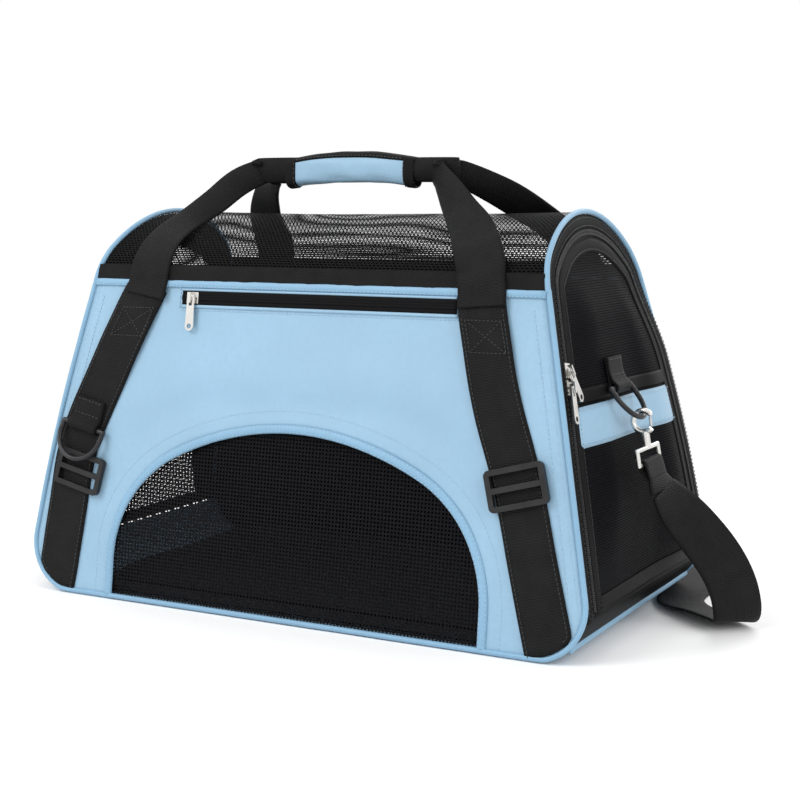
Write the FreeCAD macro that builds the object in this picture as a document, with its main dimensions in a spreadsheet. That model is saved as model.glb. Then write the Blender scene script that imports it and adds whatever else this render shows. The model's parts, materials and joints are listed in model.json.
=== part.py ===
import FreeCAD, Part
import math
import os
import Sketcher
from FreeCAD import Placement, Rotation, Vector

# Soft-sided pet carrier, in millimetres. +Z is up, the front panel faces -Y and +X is the
# carrier's right end. The origin is the middle of the underside. The long panels lean
# inwards by side_lean and the ends by end_lean, both in millimetres per millimetre of height.

doc = FreeCAD.newDocument("PetCarrier")
sheet = doc.addObject("Spreadsheet::Sheet", "Sizes")
sheet.Label = "Sizes"

SIZES = {
    # the shell
    "base_half_length": 255,
    "base_half_depth": 135,
    "end_lean": 0.2035,
    "side_lean": 0.147,
    "seam_height": 261,
    "roof_rise": 55,
    "shoulder_radius": 42,
    "lower_corner": 38,
    "skin": 4,
    "net_skin": 3,
    "turn_up": 32,
    "running_gap": 0.3,
    "bead_radius": 2,
    "seam_strip_height": 7,
    "hem_height": 13,
    "hem_thickness": 1.2,
    # inside
    "board_thickness": 3,
    "mat_thickness": 9,
    "mat_margin": 12,
    # front window and pocket
    "window_half_width": 170,
    "window_spring": 30,
    "window_rise": 121,
    "window_shoulder": 105,
    "binding_width": 6,
    "binding_thickness": 1.6,
    "pocket_zip_height": 247,
    "pocket_zip_half_length": 132,
    "pocket_zip_width": 12,
    "pocket_depth": 110,
    # end frame and door, as bands counted inwards from the end's outline
    "frame_start": 2.5,
    "frame_end": 12,
    "frame_zip_end": 14.8,
    "door_zip_start": 17.2,
    "door_start": 20,
    "zip_depth": 1,
    "zip_thickness": 2,
    "belly": 9,
    "belly_low": 110,
    "belly_high": 235,
    "door_window_low": 194,
    "door_window_border": 12,
    "patch_low": 146,
    "patch_high": 176,
    "patch_thickness": 1.2,
    # webbing
    "webbing_width": 38,
    "webbing_thickness": 1.8,
    "folded_width": 21,
    # handle wrap
    "wrap_middle_along": -4,
    "wrap_middle_across": -12,
    "wrap_middle_height": 350,
    "wrap_length": 118,
    "wrap_tall": 27,
    "wrap_deep": 17,
    "wrap_skin": 2,
    # hardware
    "ring_wire": 2,
    "ring_half_width": 21,
    "ring_arm": 7,
    "ring_tab_half_width": 15,
    "glide_length": 47,
    "glide_height": 31,
    "glide_thickness": 4,
    "glide_bar": 4.2,
    "slider_length": 11,
    "slider_width": 9,
    "slider_plate": 1.3,
    "pull_length": 27,
    "pull_width": 8,
    "pull_thickness": 1.4,
    "pull_hole": 2,
    "hook_radius": 8,
    "hook_wire": 2.1,
    "shank_length": 12,
    "eye_half_width": 23,
    "eye_height": 11,
    "eye_wire": 1.8,
}
for row, (alias, number) in enumerate(SIZES.items(), start=1):
    sheet.set(f"A{row}", alias.replace("_", " "))
    sheet.set(f"B{row}", str(number))
    sheet.setAlias(f"B{row}", alias)
doc.recompute()


class Size:
    """A length together with the sheet formula that gives it."""

    def __init__(self, value, text):
        self.value = float(value)
        self.text = text

    def __add__(self, other):
        other = size(other)
        return Size(self.value + other.value, f"({self.text} + {other.text})")

    def __sub__(self, other):
        other = size(other)
        return Size(self.value - other.value, f"({self.text} - {other.text})")

    def __mul__(self, other):
        other = size(other)
        return Size(self.value * other.value, f"({self.text} * {other.text})")

    def __truediv__(self, other):
        other = size(other)
        return Size(self.value / other.value, f"({self.text} / {other.text})")

    def __radd__(self, other):
        return size(other) + self

    def __rsub__(self, other):
        return size(other) - self

    def __rmul__(self, other):
        return size(other) * self

    def __rtruediv__(self, other):
        return size(other) / self

    def __neg__(self):
        return Size(-self.value, f"(0 - {self.text})")


def size(thing):
    """Turns a plain number, or the name of a cell, into a Size."""
    if isinstance(thing, Size):
        return thing
    if isinstance(thing, str):
        return Size(SIZES[thing], f"Sizes.{thing}")
    return Size(thing, f"{float(thing):.6f}")


def root(length):
    """The square root of a Size."""
    return Size(math.sqrt(length.value), f"sqrt({length.text})")


def bind(thing, name, length):
    """Sets a length of an object and keeps it bound to the sheet."""
    setattr(thing, name, length.value)
    thing.setExpression(name, length.text)


SKIN = size("skin")
END_COS = 1 / root(1 + size("end_lean") * size("end_lean"))
SIDE_COS = 1 / root(1 + size("side_lean") * size("side_lean"))
END_ANGLE = math.degrees(math.atan(SIZES["end_lean"]))
SIDE_ANGLE = math.degrees(math.atan(SIZES["side_lean"]))


def half_length(height):
    """Half the carrier's length at a height."""
    return size("base_half_length") - size("end_lean") * height


def half_depth(height):
    """Half the carrier's depth at a height."""
    return size("base_half_depth") - size("side_lean") * height


# Frames of the four leaning walls. In a long panel's own frame X runs along it, Y points
# inwards and Z climbs it; in an end's own frame Y runs across it, X points outwards and Z climbs.
HALF_TURN = Rotation(Vector(0, 0, 1), 180)
FRONT = Placement(Vector(0, -SIZES["base_half_depth"], 0), Rotation(Vector(1, 0, 0), -SIDE_ANGLE))
RIGHT = Placement(Vector(SIZES["base_half_length"], 0, 0), Rotation(Vector(0, 1, 0), -END_ANGLE))
TURNED = Placement(Vector(0, 0, 0), HALF_TURN)
BACK = TURNED * FRONT
LEFT = TURNED * RIGHT
LEVEL = Placement()

kept = []
PLANES = {"XY": "XY_Plane", "XZ": "XZ_Plane", "YZ": "YZ_Plane"}


def keep(thing, label, place=LEVEL):
    """Names a finished sub-part, puts it in place and lists it for writing."""
    thing.Label = label
    thing.Placement = place
    kept.append(thing)
    return thing


def group(label, labels):
    """Makes one sub-part of several separate solids."""
    members = [thing for thing in kept if thing.Label in labels]
    for thing in members:
        kept.remove(thing)
    compound = doc.addObject("Part::Compound", label)
    compound.Links = members
    return keep(compound, label)


def new_body(label, place=LEVEL):
    body = doc.addObject("PartDesign::Body", label)
    return keep(body, label, place)


def new_sketch(body, name, plane, offset=None):
    """A sketch on one of the body's own origin planes, moved along its normal."""
    sketch = body.newObject("Sketcher::SketchObject", f"{body.Label}_{name}")
    role = PLANES[plane]
    origin = [f for f in body.Origin.OriginFeatures if f.Role == role][0]
    sketch.AttachmentSupport = [(origin, "")]
    sketch.MapMode = "FlatFace"
    if offset is not None:
        sketch.AttachmentOffset = Placement(Vector(0, 0, offset.value), Rotation())
        sketch.setExpression("AttachmentOffset.Base.z", offset.text)
    return sketch


def fix_point(sketch, geo, position, across, up):
    """Holds one end of a line or arc, or a centre, at a place bound to the sheet."""
    for kind, axis, length in (("DistanceX", -2, across), ("DistanceY", -1, up)):
        if abs(length.value) < 1e-9:
            sketch.addConstraint(Sketcher.Constraint("PointOnObject", geo, position, axis))
            continue
        number = sketch.addConstraint(
            Sketcher.Constraint(kind, -1, 1, geo, position, length.value)
        )
        sketch.setExpression(f"Constraints[{number}]", length.text)


def arc_between(start, end, radius, left):
    """The circular arc from start to end, with its centre on the left or right of the way."""
    middle = (start + end) * 0.5
    way = end - start
    side = Vector(-way.y, way.x, 0)
    side.normalize()
    reach = math.sqrt(max(radius * radius - way.Length * way.Length / 4, 0))
    centre = middle + side * (reach if left else -reach)
    first, last = (start, end) if left else (end, start)
    angles = [math.atan2(p.y - centre.y, p.x - centre.x) for p in (first, last)]
    return Part.ArcOfCircle(Part.Circle(centre, Vector(0, 0, 1), radius), angles[0], angles[1])


def draw(sketch, corners, arcs=None, closed=True):
    """Draws lines from corner to corner. arcs gives, for the stretch that starts at a corner,
    a radius and whether the arc's centre is on the left. Every corner is bound to the sheet."""
    arcs = arcs or {}
    corners = [(size(x), size(y)) for x, y in corners]
    count = len(corners) if closed else len(corners) - 1
    ends = []
    for index in range(count):
        a, b = corners[index], corners[(index + 1) % len(corners)]
        start = Vector(a[0].value, a[1].value, 0)
        end = Vector(b[0].value, b[1].value, 0)
        if index in arcs:
            radius, left = arcs[index]
            geo = sketch.addGeometry(arc_between(start, end, radius.value, left), False)
            number = sketch.addConstraint(Sketcher.Constraint("Radius", geo, radius.value))
            sketch.setExpression(f"Constraints[{number}]", radius.text)
            ends.append((geo, 1, 2) if left else (geo, 2, 1))
        else:
            geo = sketch.addGeometry(Part.LineSegment(start, end), False)
            ends.append((geo, 1, 2))
    for index in range(count):
        geo, first, last = ends[index]
        fix_point(sketch, geo, first, *corners[index])
        if closed or index < count - 1:
            after = ends[(index + 1) % count]
            sketch.addConstraint(Sketcher.Constraint("Coincident", geo, last, after[0], after[1]))
        else:
            fix_point(sketch, geo, last, *corners[-1])
    return sketch


def circle(sketch, across, up, radius):
    """A circle whose centre and radius are bound to the sheet."""
    across, up, radius = size(across), size(up), size(radius)
    centre = Vector(across.value, up.value, 0)
    geo = sketch.addGeometry(Part.Circle(centre, Vector(0, 0, 1), radius.value), False)
    number = sketch.addConstraint(Sketcher.Constraint("Radius", geo, radius.value))
    sketch.setExpression(f"Constraints[{number}]", radius.text)
    fix_point(sketch, geo, 3, across, up)
    return sketch


def pad(body, sketch, length, inwards=False, both=False):
    """Thickens a sketch along its normal, against it, or evenly both ways."""
    feature = body.newObject("PartDesign::Pad", f"{sketch.Label}_pad")
    feature.Profile = sketch
    bind(feature, "Length", size(length))
    feature.Reversed = inwards
    feature.Midplane = both
    sketch.Visibility = False
    return feature


def pocket(body, sketch):
    """Cuts a sketch right through the body, both ways."""
    feature = body.newObject("PartDesign::Pocket", f"{sketch.Label}_pocket")
    feature.Profile = sketch
    feature.Type = "ThroughAll"
    feature.Midplane = True
    sketch.Visibility = False
    return feature


def round_edges(body, base, chosen, radius):
    """Rounds the edges of the last feature that pass a test."""
    doc.recompute()
    names = [f"Edge{i + 1}" for i, edge in enumerate(base.Shape.Edges) if chosen(edge)]
    feature = body.newObject("PartDesign::Fillet", f"{body.Label}_round")
    feature.Base = (base, names)
    bind(feature, "Radius", size(radius))
    return feature


# ---------------------------------------------------------------- long panels and base


def panel_corners(inset, low, high):
    """A long panel's outline in its own plane, its sides set in from the shell's ends."""
    foot = half_length(low) - inset
    head = half_length(high) - inset
    return [
        (-foot, low / SIDE_COS),
        (foot, low / SIDE_COS),
        (head, high / SIDE_COS),
        (-head, high / SIDE_COS),
    ]


def lower_corners(edge):
    """Edges that run through the thickness of a long panel at its two lower corners."""
    flat = abs(edge.BoundBox.XLength) < 1e-6 and edge.BoundBox.ZLength < 1
    return flat and edge.BoundBox.ZMax < SIZES["skin"] + 2


def long_panel(label, place):
    """A lined fabric panel with rounded lower corners."""
    body = new_body(label, place)
    sketch = new_sketch(body, "outline", "XZ")
    draw(sketch, panel_corners(SKIN, SKIN, size("seam_height")))
    plate = pad(body, sketch, "skin", inwards=True)
    round_edges(body, plate, lower_corners, size("lower_corner") - SKIN)
    return body


class Arch:
    """Straight sides that lean inwards, joined over the top by a shoulder arc, a wide crown
    arc and a second shoulder arc. Every outline is this one, set in by some distance."""

    def __init__(self, half, spring, rise, shoulder, lean):
        self.half, self.spring = size(half), size(spring)
        self.shoulder, self.lean = size(shoulder), size(lean)
        self.cos = 1 / root(1 + self.lean * self.lean)
        self.sin = self.lean * self.cos
        self.across = self.half - self.shoulder * self.cos
        reach = size(rise) + self.shoulder * self.sin
        square = self.across * self.across + reach * reach - self.shoulder * self.shoulder
        self.crown = square / (2 * (reach - self.shoulder))
        self.up = self.crown - reach
        self.middle = self.spring + rise - self.crown

    def side(self, height, inset):
        """Half the width at a height on the straight sides."""
        return self.half + self.lean * (self.spring - height) - size(inset) / self.cos

    def over(self, inset):
        """The four points of the arched part, from right to left, and its three radii."""
        inset = size(inset)
        share = (self.crown - inset) / (self.crown - self.shoulder)
        start = (self.half - inset * self.cos, self.spring - inset * self.sin)
        turn = (self.across * share, self.middle + self.up * share)
        points = [start, turn, (-turn[0], turn[1]), (-start[0], start[1])]
        return points, [self.shoulder - inset, self.crown - inset, self.shoulder - inset]

    def full(self, inset, foot):
        """The closed outline above a foot height."""
        points, radii = self.over(inset)
        half = self.side(foot, inset)
        corners = [(half, foot)] + points + [(-half, foot)]
        return corners, {i + 1: (radius, True) for i, radius in enumerate(radii)}

    def band(self, outer, inner, foot):
        """The closed strip between two insets, above a foot height."""
        corners, arcs = self.full(outer, foot)
        points, radii = self.over(inner)
        half = self.side(foot, inner)
        count = len(corners)
        corners = corners + [(-half, foot)] + points[::-1] + [(half, foot)]
        for i, radius in enumerate(radii):
            arcs[count + 1 + i] = (radius, False)
        return corners, arcs


SEAM = size("seam_height")
ROOF = Arch(half_depth(SEAM), SEAM, size("roof_rise"), "shoulder_radius", "side_lean")
END = Arch(
    half_depth(SEAM),
    SEAM / END_COS,
    size("roof_rise") / END_COS,
    "shoulder_radius",
    size("side_lean") * END_COS,
)
WINDOW = Arch(
    "window_half_width", "window_spring", size("window_rise"), "window_shoulder", 0.0001
)
DOOR_FOOT = size("turn_up") / END_COS + size("running_gap")


def plate(label, place, plane, outline, thickness, start=0, inwards=True):
    """A flat plate whose outline lies in one of its wall's own planes."""
    body = new_body(label, place)
    sketch = new_sketch(body, "outline", plane, size(start))
    draw(sketch, *outline)
    pad(body, sketch, thickness, inwards=inwards)
    return body


def cut(body, name, plane, outline):
    """Cuts an outline right through a body."""
    sketch = new_sketch(body, name, plane)
    draw(sketch, *outline)
    return pocket(body, sketch)


def box_outline(left, right, low, high):
    """A rectangle's four corners."""
    return [(left, low), (right, low), (right, high), (left, high)], {}


def tube(body, path_plane, path, radius, start_height):
    """A round bar swept along a path that starts at the given height, heading along Z."""
    route = new_sketch(body, "path", path_plane)
    draw(route, *path, closed=False)
    across = path[0][0][0]
    section = new_sketch(body, "section", "XY", size(start_height))
    if path_plane == "XZ":
        circle(section, across, 0, radius)
    else:
        circle(section, 0, across, radius)
    pipe = body.newObject("PartDesign::AdditivePipe", f"{body.Label}_pipe")
    pipe.Profile = section
    pipe.Spine = (route, [])
    return body


# ---------------------------------------------------------------- base, board and mat

GUSSET_HALF = size("frame_start")

base = new_body("base_panel")
outline = new_sketch(base, "section", "XZ")
TURN_UP = size("turn_up")
BLOCK_TOP = 2 * size("lower_corner")
draw(outline, [
    (-half_length(0), 0),
    (half_length(0), 0),
    (half_length(BLOCK_TOP), BLOCK_TOP),
    (-half_length(BLOCK_TOP), BLOCK_TOP),
])
block = pad(base, outline, 2 * (half_depth(0) - GUSSET_HALF), both=True)


def at_foot(edge):
    """Edges that run along Y at the very bottom."""
    return edge.BoundBox.ZMax < 1e-6 and edge.BoundBox.YLength > 100


round_edges(base, block, at_foot, "lower_corner")
hollow = new_sketch(base, "hollow", "XZ")
INNER_FOOT = half_length(SKIN) - SKIN
LEAN_SIN = size("end_lean") * END_COS
INNER_RADIUS = size("lower_corner") - SKIN
TANGENT = INNER_RADIUS * (1 + LEAN_SIN) / END_COS
hollow_corner = (INNER_FOOT - TANGENT, SKIN)
HOLLOW_TOP = BLOCK_TOP + 10
hollow_turn = (INNER_FOOT - TANGENT * LEAN_SIN, SKIN + TANGENT * END_COS)
draw(
    hollow,
    [
        (-hollow_corner[0], hollow_corner[1]),
        hollow_corner,
        hollow_turn,
        (half_length(HOLLOW_TOP) - SKIN, HOLLOW_TOP),
        (-(half_length(HOLLOW_TOP) - SKIN), HOLLOW_TOP),
        (-hollow_turn[0], hollow_turn[1]),
    ],
    {1: (INNER_RADIUS, True), 5: (INNER_RADIUS, True)},
)
pocket(base, hollow)
cut(base, "top_trim", "XZ", box_outline(-300, 300, TURN_UP - 1, BLOCK_TOP + 5))
base.AllowCompound = True
for number, way in ((1, 1), (2, -1)):
    low, high = half_depth(0) - GUSSET_HALF, half_depth(TURN_UP) - GUSSET_HALF
    far = low + 9
    corners = [(way * low, 0), (way * far, 0), (way * far, TURN_UP), (way * high, TURN_UP)]
    cut(base, f"side_trim_{number}", "YZ", (corners if way > 0 else corners[::-1], {}))

MAT_HALF_LENGTH = size("base_half_length") - size("lower_corner") - size("mat_margin")
MAT_HALF_DEPTH = size("base_half_depth") - SKIN - size("mat_margin")


def floor_piece(label, thickness, start, shrink):
    """A flat rectangular piece on the carrier's floor, with rounded corners."""
    half_along, half_across = MAT_HALF_LENGTH - shrink, MAT_HALF_DEPTH - shrink
    edges = box_outline(-half_along, half_along, -half_across, half_across)
    body = plate(label, LEVEL, "XY", edges, thickness, start, inwards=False)

    def upright(edge):
        return edge.BoundBox.XLength < 1e-6 and edge.BoundBox.YLength < 1e-6

    round_edges(body, body.Tip, upright, "mat_margin")
    return body


floor_piece("bottom_board", "board_thickness", SKIN, 0)
floor_piece("floor_mat", "mat_thickness", SKIN + size("board_thickness"), 3)

# ---------------------------------------------------------------- front and back walls

front = long_panel("front_panel", FRONT)
cut(front, "window", "XZ", WINDOW.full(0, -5))
ZIP_HIGH = size("pocket_zip_height") / SIDE_COS
ZIP_HALF = size("pocket_zip_half_length")
ZIP_RISE = size("pocket_zip_width") / 2
zip_edges = box_outline(-ZIP_HALF, ZIP_HALF, ZIP_HIGH - ZIP_RISE, ZIP_HIGH + ZIP_RISE)
cut(front, "pocket_mouth", "XZ", zip_edges)
long_panel("back_panel", BACK)

PANEL_FOOT = SKIN / SIDE_COS
plate("front_window_mesh", FRONT, "XZ", WINDOW.full(0, PANEL_FOOT), 2, -1)
HALF_BINDING = size("binding_width") / 2
plate(
    "front_window_binding",
    FRONT,
    "XZ",
    WINDOW.band(-HALF_BINDING, HALF_BINDING, PANEL_FOOT),
    "binding_thickness",
    inwards=False,
)
plate("pocket_zip_tape", FRONT, "XZ", zip_edges, 2, -1)
coil_edges = box_outline(-ZIP_HALF + 2, ZIP_HALF - 2, ZIP_HIGH - 1.6, ZIP_HIGH + 1.6)
plate("pocket_zip_coil", FRONT, "XZ", coil_edges, 1.4, -1, inwards=False)
liner_edges = box_outline(
    -ZIP_HALF - 12, ZIP_HALF + 12, ZIP_HIGH - size("pocket_depth") + 25, ZIP_HIGH + 9
)
plate("pocket_liner", FRONT, "XZ", liner_edges, 1, -SKIN)

STRIP_HALF = half_length(SEAM) - SKIN
for label, place in (("front_seam_strip", FRONT), ("back_seam_strip", BACK)):
    top = SEAM / SIDE_COS
    strip_edges = box_outline(-STRIP_HALF, STRIP_HALF, top - size("seam_strip_height"), top)
    plate(label, place, "XZ", strip_edges, "hem_thickness", inwards=False)

BEAD = size("bead_radius")
PLANE_LEAN = size("end_lean") * SIDE_COS
PLANE_COS = 1 / root(1 + PLANE_LEAN * PLANE_LEAN)
PLANE_SIN = PLANE_LEAN * PLANE_COS
BEAD_TURN = size("lower_corner") - BEAD
BEAD_REACH = BEAD_TURN * (1 + PLANE_SIN) / PLANE_COS
for label, place in (("front_piping", FRONT), ("back_piping", BACK)):
    bead = new_body(label, place)
    top = (SEAM - 1) / SIDE_COS
    bead_foot = half_length(BEAD * SIDE_COS) - BEAD
    upper = (half_length(SEAM - 1) - BEAD, top)
    side_turn = (bead_foot - BEAD_REACH * PLANE_SIN, BEAD + BEAD_REACH * PLANE_COS)
    foot_turn = (bead_foot - BEAD_REACH, BEAD + 0.1)
    mirrored = [(-x, y) for x, y in (foot_turn, side_turn, upper)]
    corners = [upper, side_turn, foot_turn] + mirrored
    tube(bead, "XZ", (corners, {1: (BEAD_TURN, False), 3: (BEAD_TURN, False)}), BEAD, top)

# ---------------------------------------------------------------- roof


def roof_sheet(label, outer, inner):
    """An arched sheet that runs the carrier's length and meets both leaning ends."""
    body = new_body(label)
    sketch = new_sketch(body, "section", "YZ")
    draw(sketch, *ROOF.band(outer, inner, SEAM - 0.5))
    pad(body, sketch, 2 * half_length(SEAM), both=True)
    foot, head = SEAM - 20, SEAM + size("roof_rise") + 20
    far = half_length(0)
    for number, way in ((1, 1), (2, -1)):
        low, high = half_length(foot) - SKIN, half_length(head) - SKIN
        corners = [(way * low, foot), (way * far, foot), (way * far, head), (way * high, head)]
        cut(body, f"end_trim_{number}", "XZ", (corners if way > 0 else corners[::-1], {}))
    return body


roof_sheet("roof_mesh", 0, "net_skin")
hems = roof_sheet("roof_hems", -size("hem_thickness"), 0)
hems.AllowCompound = True
cut(hems, "crown_trim", "YZ", box_outline(-150, 150, SEAM + size("hem_height"), SEAM + 90))

ends = (("right", RIGHT), ("left", LEFT))
for name, place in ends:
    bead = new_body(f"{name}_arch_piping", place)
    over, radii = END.over(0)
    arcs = {i: (radius, True) for i, radius in enumerate(radii)}
    route = new_sketch(bead, "path", "YZ", -BEAD)
    draw(route, over, arcs, closed=False)
    section = new_sketch(bead, "section", "XY", END.spring)
    circle(section, -BEAD, END.half, BEAD)
    pipe = bead.newObject("PartDesign::AdditivePipe", f"{name}_arch_pipe")
    pipe.Profile = section
    pipe.Spine = (route, [])

# ---------------------------------------------------------------- ends and doors

FRAME_FOOT = size("turn_up") / END_COS
BELLY = size("belly")
BELLY_LOW, BELLY_HIGH = size("belly_low"), size("belly_high")
BELLY_INSET = size("door_start") + 50
RING_X = BELLY + size("patch_thickness") + size("ring_wire") + 0.6
RING_HEIGHT = 183


def four_sided(inset, low, high):
    """The part of an end's outline between two heights, set in from its straight sides."""
    foot, head = END.side(low, inset), END.side(high, inset)
    return [(-foot, low), (foot, low), (head, high), (-head, high)], {}


def door_panel(label, place):
    """The zipped end door: a flat fabric plate whose middle swells outwards, with a window."""
    body = plate(label, place, "YZ", END.full("door_start", DOOR_FOOT), "skin")
    low = new_sketch(body, "belly_foot", "YZ")
    draw(low, *four_sided(size("door_start") + 2, DOOR_FOOT + 2, END.spring))
    high = new_sketch(body, "belly_top", "YZ", BELLY)
    draw(high, *four_sided(BELLY_INSET, BELLY_LOW, BELLY_HIGH))
    swell = body.newObject("PartDesign::AdditiveLoft", f"{label}_belly")
    swell.Profile = low
    swell.Sections = [(high, [""])]
    swell.Ruled = True
    low.Visibility = high.Visibility = False
    cut(body, "window", "YZ", END.full(DOOR_WINDOW_INSET, DOOR_WINDOW_LOW))
    return body


DOOR_WINDOW_INSET = size("door_start") + size("door_window_border")
DOOR_WINDOW_LOW = size("door_window_low") / END_COS


def patch(label, place):
    """The reinforcing band across the door: it follows the swell of the door's middle."""
    body = new_body(label, place)
    half = END.side(size("patch_high") / END_COS, size("door_start") + 4)
    flat = END.side(size("patch_high") / END_COS, BELLY_INSET)
    thick = size("patch_thickness")
    sketch = new_sketch(body, "section", "XY", size("patch_low") / END_COS)
    rise = 0.9
    draw(sketch, [
        (rise, -half),
        (rise + thick, -half),
        (BELLY + thick, -flat),
        (BELLY + thick, flat),
        (rise + thick, half),
        (rise, half),
        (BELLY, flat),
        (BELLY, -flat),
    ][::-1])
    pad(body, sketch, (size("patch_high") - size("patch_low")) / END_COS)
    return body


def ring_tab(label, place, back):
    """A folded webbing loop around a ring's bar, in the bar's frame, back deep behind it."""
    body = new_body(label, place)
    sketch = new_sketch(body, "section", "XZ")
    bore = size("ring_wire") + size("running_gap")
    draw(sketch, *box_outline(-back, bore + 1, -bore - 1, bore + 5.5))
    circle(sketch, 0, 0, bore)
    pad(body, sketch, 2 * size("ring_tab_half_width"), both=True)
    return body


def bound(kind, name, sizes, place=LEVEL):
    """A Part primitive whose sizes are bound to the sheet."""
    thing = doc.addObject(kind, name)
    for key, length in sizes.items():
        bind(thing, key, size(length))
    thing.Placement = place
    return thing


def bar(name, start, way, length, radius):
    """A round bar from a point along a direction."""
    turn = Rotation(Vector(0, 0, 1), Vector(*way))
    place = Placement(Vector(*start), turn)
    return bound("Part::Cylinder", name, {"Radius": radius, "Height": length}, place)


def ball(name, centre, radius):
    return bound("Part::Sphere", name, {"Radius": radius}, Placement(Vector(*centre), Rotation()))


def fuse(label, pieces, place):
    """Joins primitives into one sub-part."""
    thing = doc.addObject("Part::MultiFuse", label)
    thing.Shapes = pieces
    thing.Refine = False
    return keep(thing, label, place)


def d_ring(label, place):
    """A wire ring whose bar lies along Y at the origin and whose bow hangs below it."""
    half = SIZES["ring_half_width"]
    arm = SIZES["ring_arm"]
    upended = Rotation(Vector(0, 1, 0), 90) * Rotation(Vector(0, 0, 1), -90)
    bow_sizes = {"Radius1": "ring_half_width", "Radius2": "ring_wire"}
    bow = bound("Part::Torus", f"{label}_bow", bow_sizes, Placement(Vector(0, 0, -arm), upended))
    bow.Angle3 = 180
    pieces = [bow, bar(f"{label}_bar", (0, -half, 0), (0, 1, 0), size("ring_half_width") * 2, "ring_wire")]
    for side in (-half, half):
        pieces.append(bar(f"{label}_arm_{side}", (0, side, -arm), (0, 0, 1), "ring_arm", "ring_wire"))
        pieces.append(ball(f"{label}_corner_{side}", (0, side, 0), "ring_wire"))
    return fuse(label, pieces, place)


def door_zip_frame(height, turn=0.0):
    """A frame on the door's zip at the front side: X outwards, Z up along the zip."""
    lean = math.degrees(math.atan(END.lean.value))
    middle = (SIZES["frame_zip_end"] + SIZES["door_zip_start"]) / 2
    climb = height / END_COS.value
    side = END.side(climb, middle).value
    return Placement(Vector(0, -side, climb), Rotation(Vector(1, 0, 0), turn - lean))


def block(name, low, high, place=LEVEL):
    """A box between two corners, each size bound to the sheet."""
    low, high = [size(v) for v in low], [size(v) for v in high]
    corner = Placement(Vector(*[v.value for v in low]), Rotation())
    keys = ("Length", "Width", "Height")
    sizes = {key: high[i] - low[i] for i, key in enumerate(keys)}
    return bound("Part::Box", name, sizes, place * corner)


PULL_AXIS = 3.6
SLIDER_LIFT = 0.4


def slider(label, place, turn=0.0, guided=True):
    """A zip slider: a top plate, a bridge for the pull, and on a door zip a post through the
    slot between the two tapes with a plate behind the door's own tape."""
    half_wide, half_long = size("slider_width") / 2, size("slider_length") / 2
    top = size(SLIDER_LIFT) + size("slider_plate")
    pieces = [block(f"{label}_top", (SLIDER_LIFT, -half_wide, -half_long), (top, half_wide, half_long))]
    if guided:
        pieces.append(block(f"{label}_post", (-4.6, -0.8, -2.5), (SLIDER_LIFT, 0.8, 2.5)))
        pieces.append(block(f"{label}_back", (-4.6, -0.8, -half_long), (-3.4, 3.6, half_long)))
    rotated = Placement(Vector(0, 0, 0), Rotation(Vector(1, 0, 0), turn))
    crest = PULL_AXIS + 1.5
    for side in (-1, 1):
        foot = 3.3 * side
        pieces.append(
            block(f"{label}_leg_{side + 1}", (top, -0.9, foot - 0.8), (crest, 0.9, foot + 0.8), rotated)
        )
    pieces.append(block(f"{label}_bridge", (crest, -0.9, -4.1), (crest + 1.1, 0.9, 4.1), rotated))
    return fuse(label, pieces, place)


def pull(label, place):
    """A tapered pull: a square bar through the bridge, two arms, and a tab with a hole."""
    body = new_body(label, place)
    sketch = new_sketch(body, "outline", "YZ")
    long, half = size("pull_length"), size("pull_width") / 2
    narrow = half - 0.7
    draw(
        sketch,
        [(narrow, 0.8), (-narrow, 0.8), (-half, -long + half), (half, -long + half)],
        {2: (half + 0.01, True)},
    )
    draw(sketch, *box_outline(-1.5, 1.5, -6.5, -0.8))
    circle(sketch, 0, -long + half, "pull_hole")
    pad(body, sketch, "pull_thickness", both=True)
    return body


CLAW_MOUTH = 42
CLAW_SWEEP = 270


def claw_point(angle):
    """A point on the claw's middle line, in the hook's frame."""
    radius = SIZES["hook_radius"]
    drop = radius - SIZES["hook_wire"] - SIZES["ring_wire"] - SIZES["running_gap"]
    turn = math.radians(angle)
    return Vector(radius * math.cos(turn), 0, radius * math.sin(turn) - drop)


def snap_hook(label, place):
    """The hook's claw, barrel and strap eye. The ring's wire passes through the origin along Y."""
    claw_drop = -(claw_point(0).z)
    upended = Rotation(Vector(1, 0, 0), 90) * Rotation(Vector(0, 0, 1), CLAW_MOUTH)
    claw_sizes = {"Radius1": "hook_radius", "Radius2": "hook_wire"}
    claw = bound("Part::Torus", f"{label}_claw", claw_sizes, Placement(Vector(0, 0, -claw_drop), upended))
    claw.Angle3 = CLAW_SWEEP
    tip = claw_point(CLAW_MOUTH)
    foot = claw_point(-90).z
    shank = size("shank_length")
    eye_top = foot - SIZES["shank_length"]
    eye_foot = eye_top - SIZES["eye_height"]
    half = SIZES["eye_half_width"]
    pieces = [
        claw,
        ball(f"{label}_tip", (tip.x, tip.y, tip.z), "hook_wire"),
        bar(f"{label}_barrel", (0, 0, eye_top), (0, 0, 1), shank, 3.2),
        bar(f"{label}_eye_top", (0, -half, eye_top), (0, 1, 0), size("eye_half_width") * 2, "eye_wire"),
        bar(f"{label}_eye_foot", (0, -half, eye_foot), (0, 1, 0), size("eye_half_width") * 2, "eye_wire"),
    ]
    for side in (-half, half):
        pieces.append(bar(f"{label}_eye_side_{side}", (0, side, eye_foot), (0, 0, 1), "eye_height", "eye_wire"))
        for number, level in enumerate((eye_top, eye_foot)):
            pieces.append(ball(f"{label}_eye_corner_{side}_{number}", (0, side, level), "eye_wire"))
    return fuse(label, pieces, place)


GATE_RADIUS, GATE_GAP = 1.1, 1.9


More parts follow.
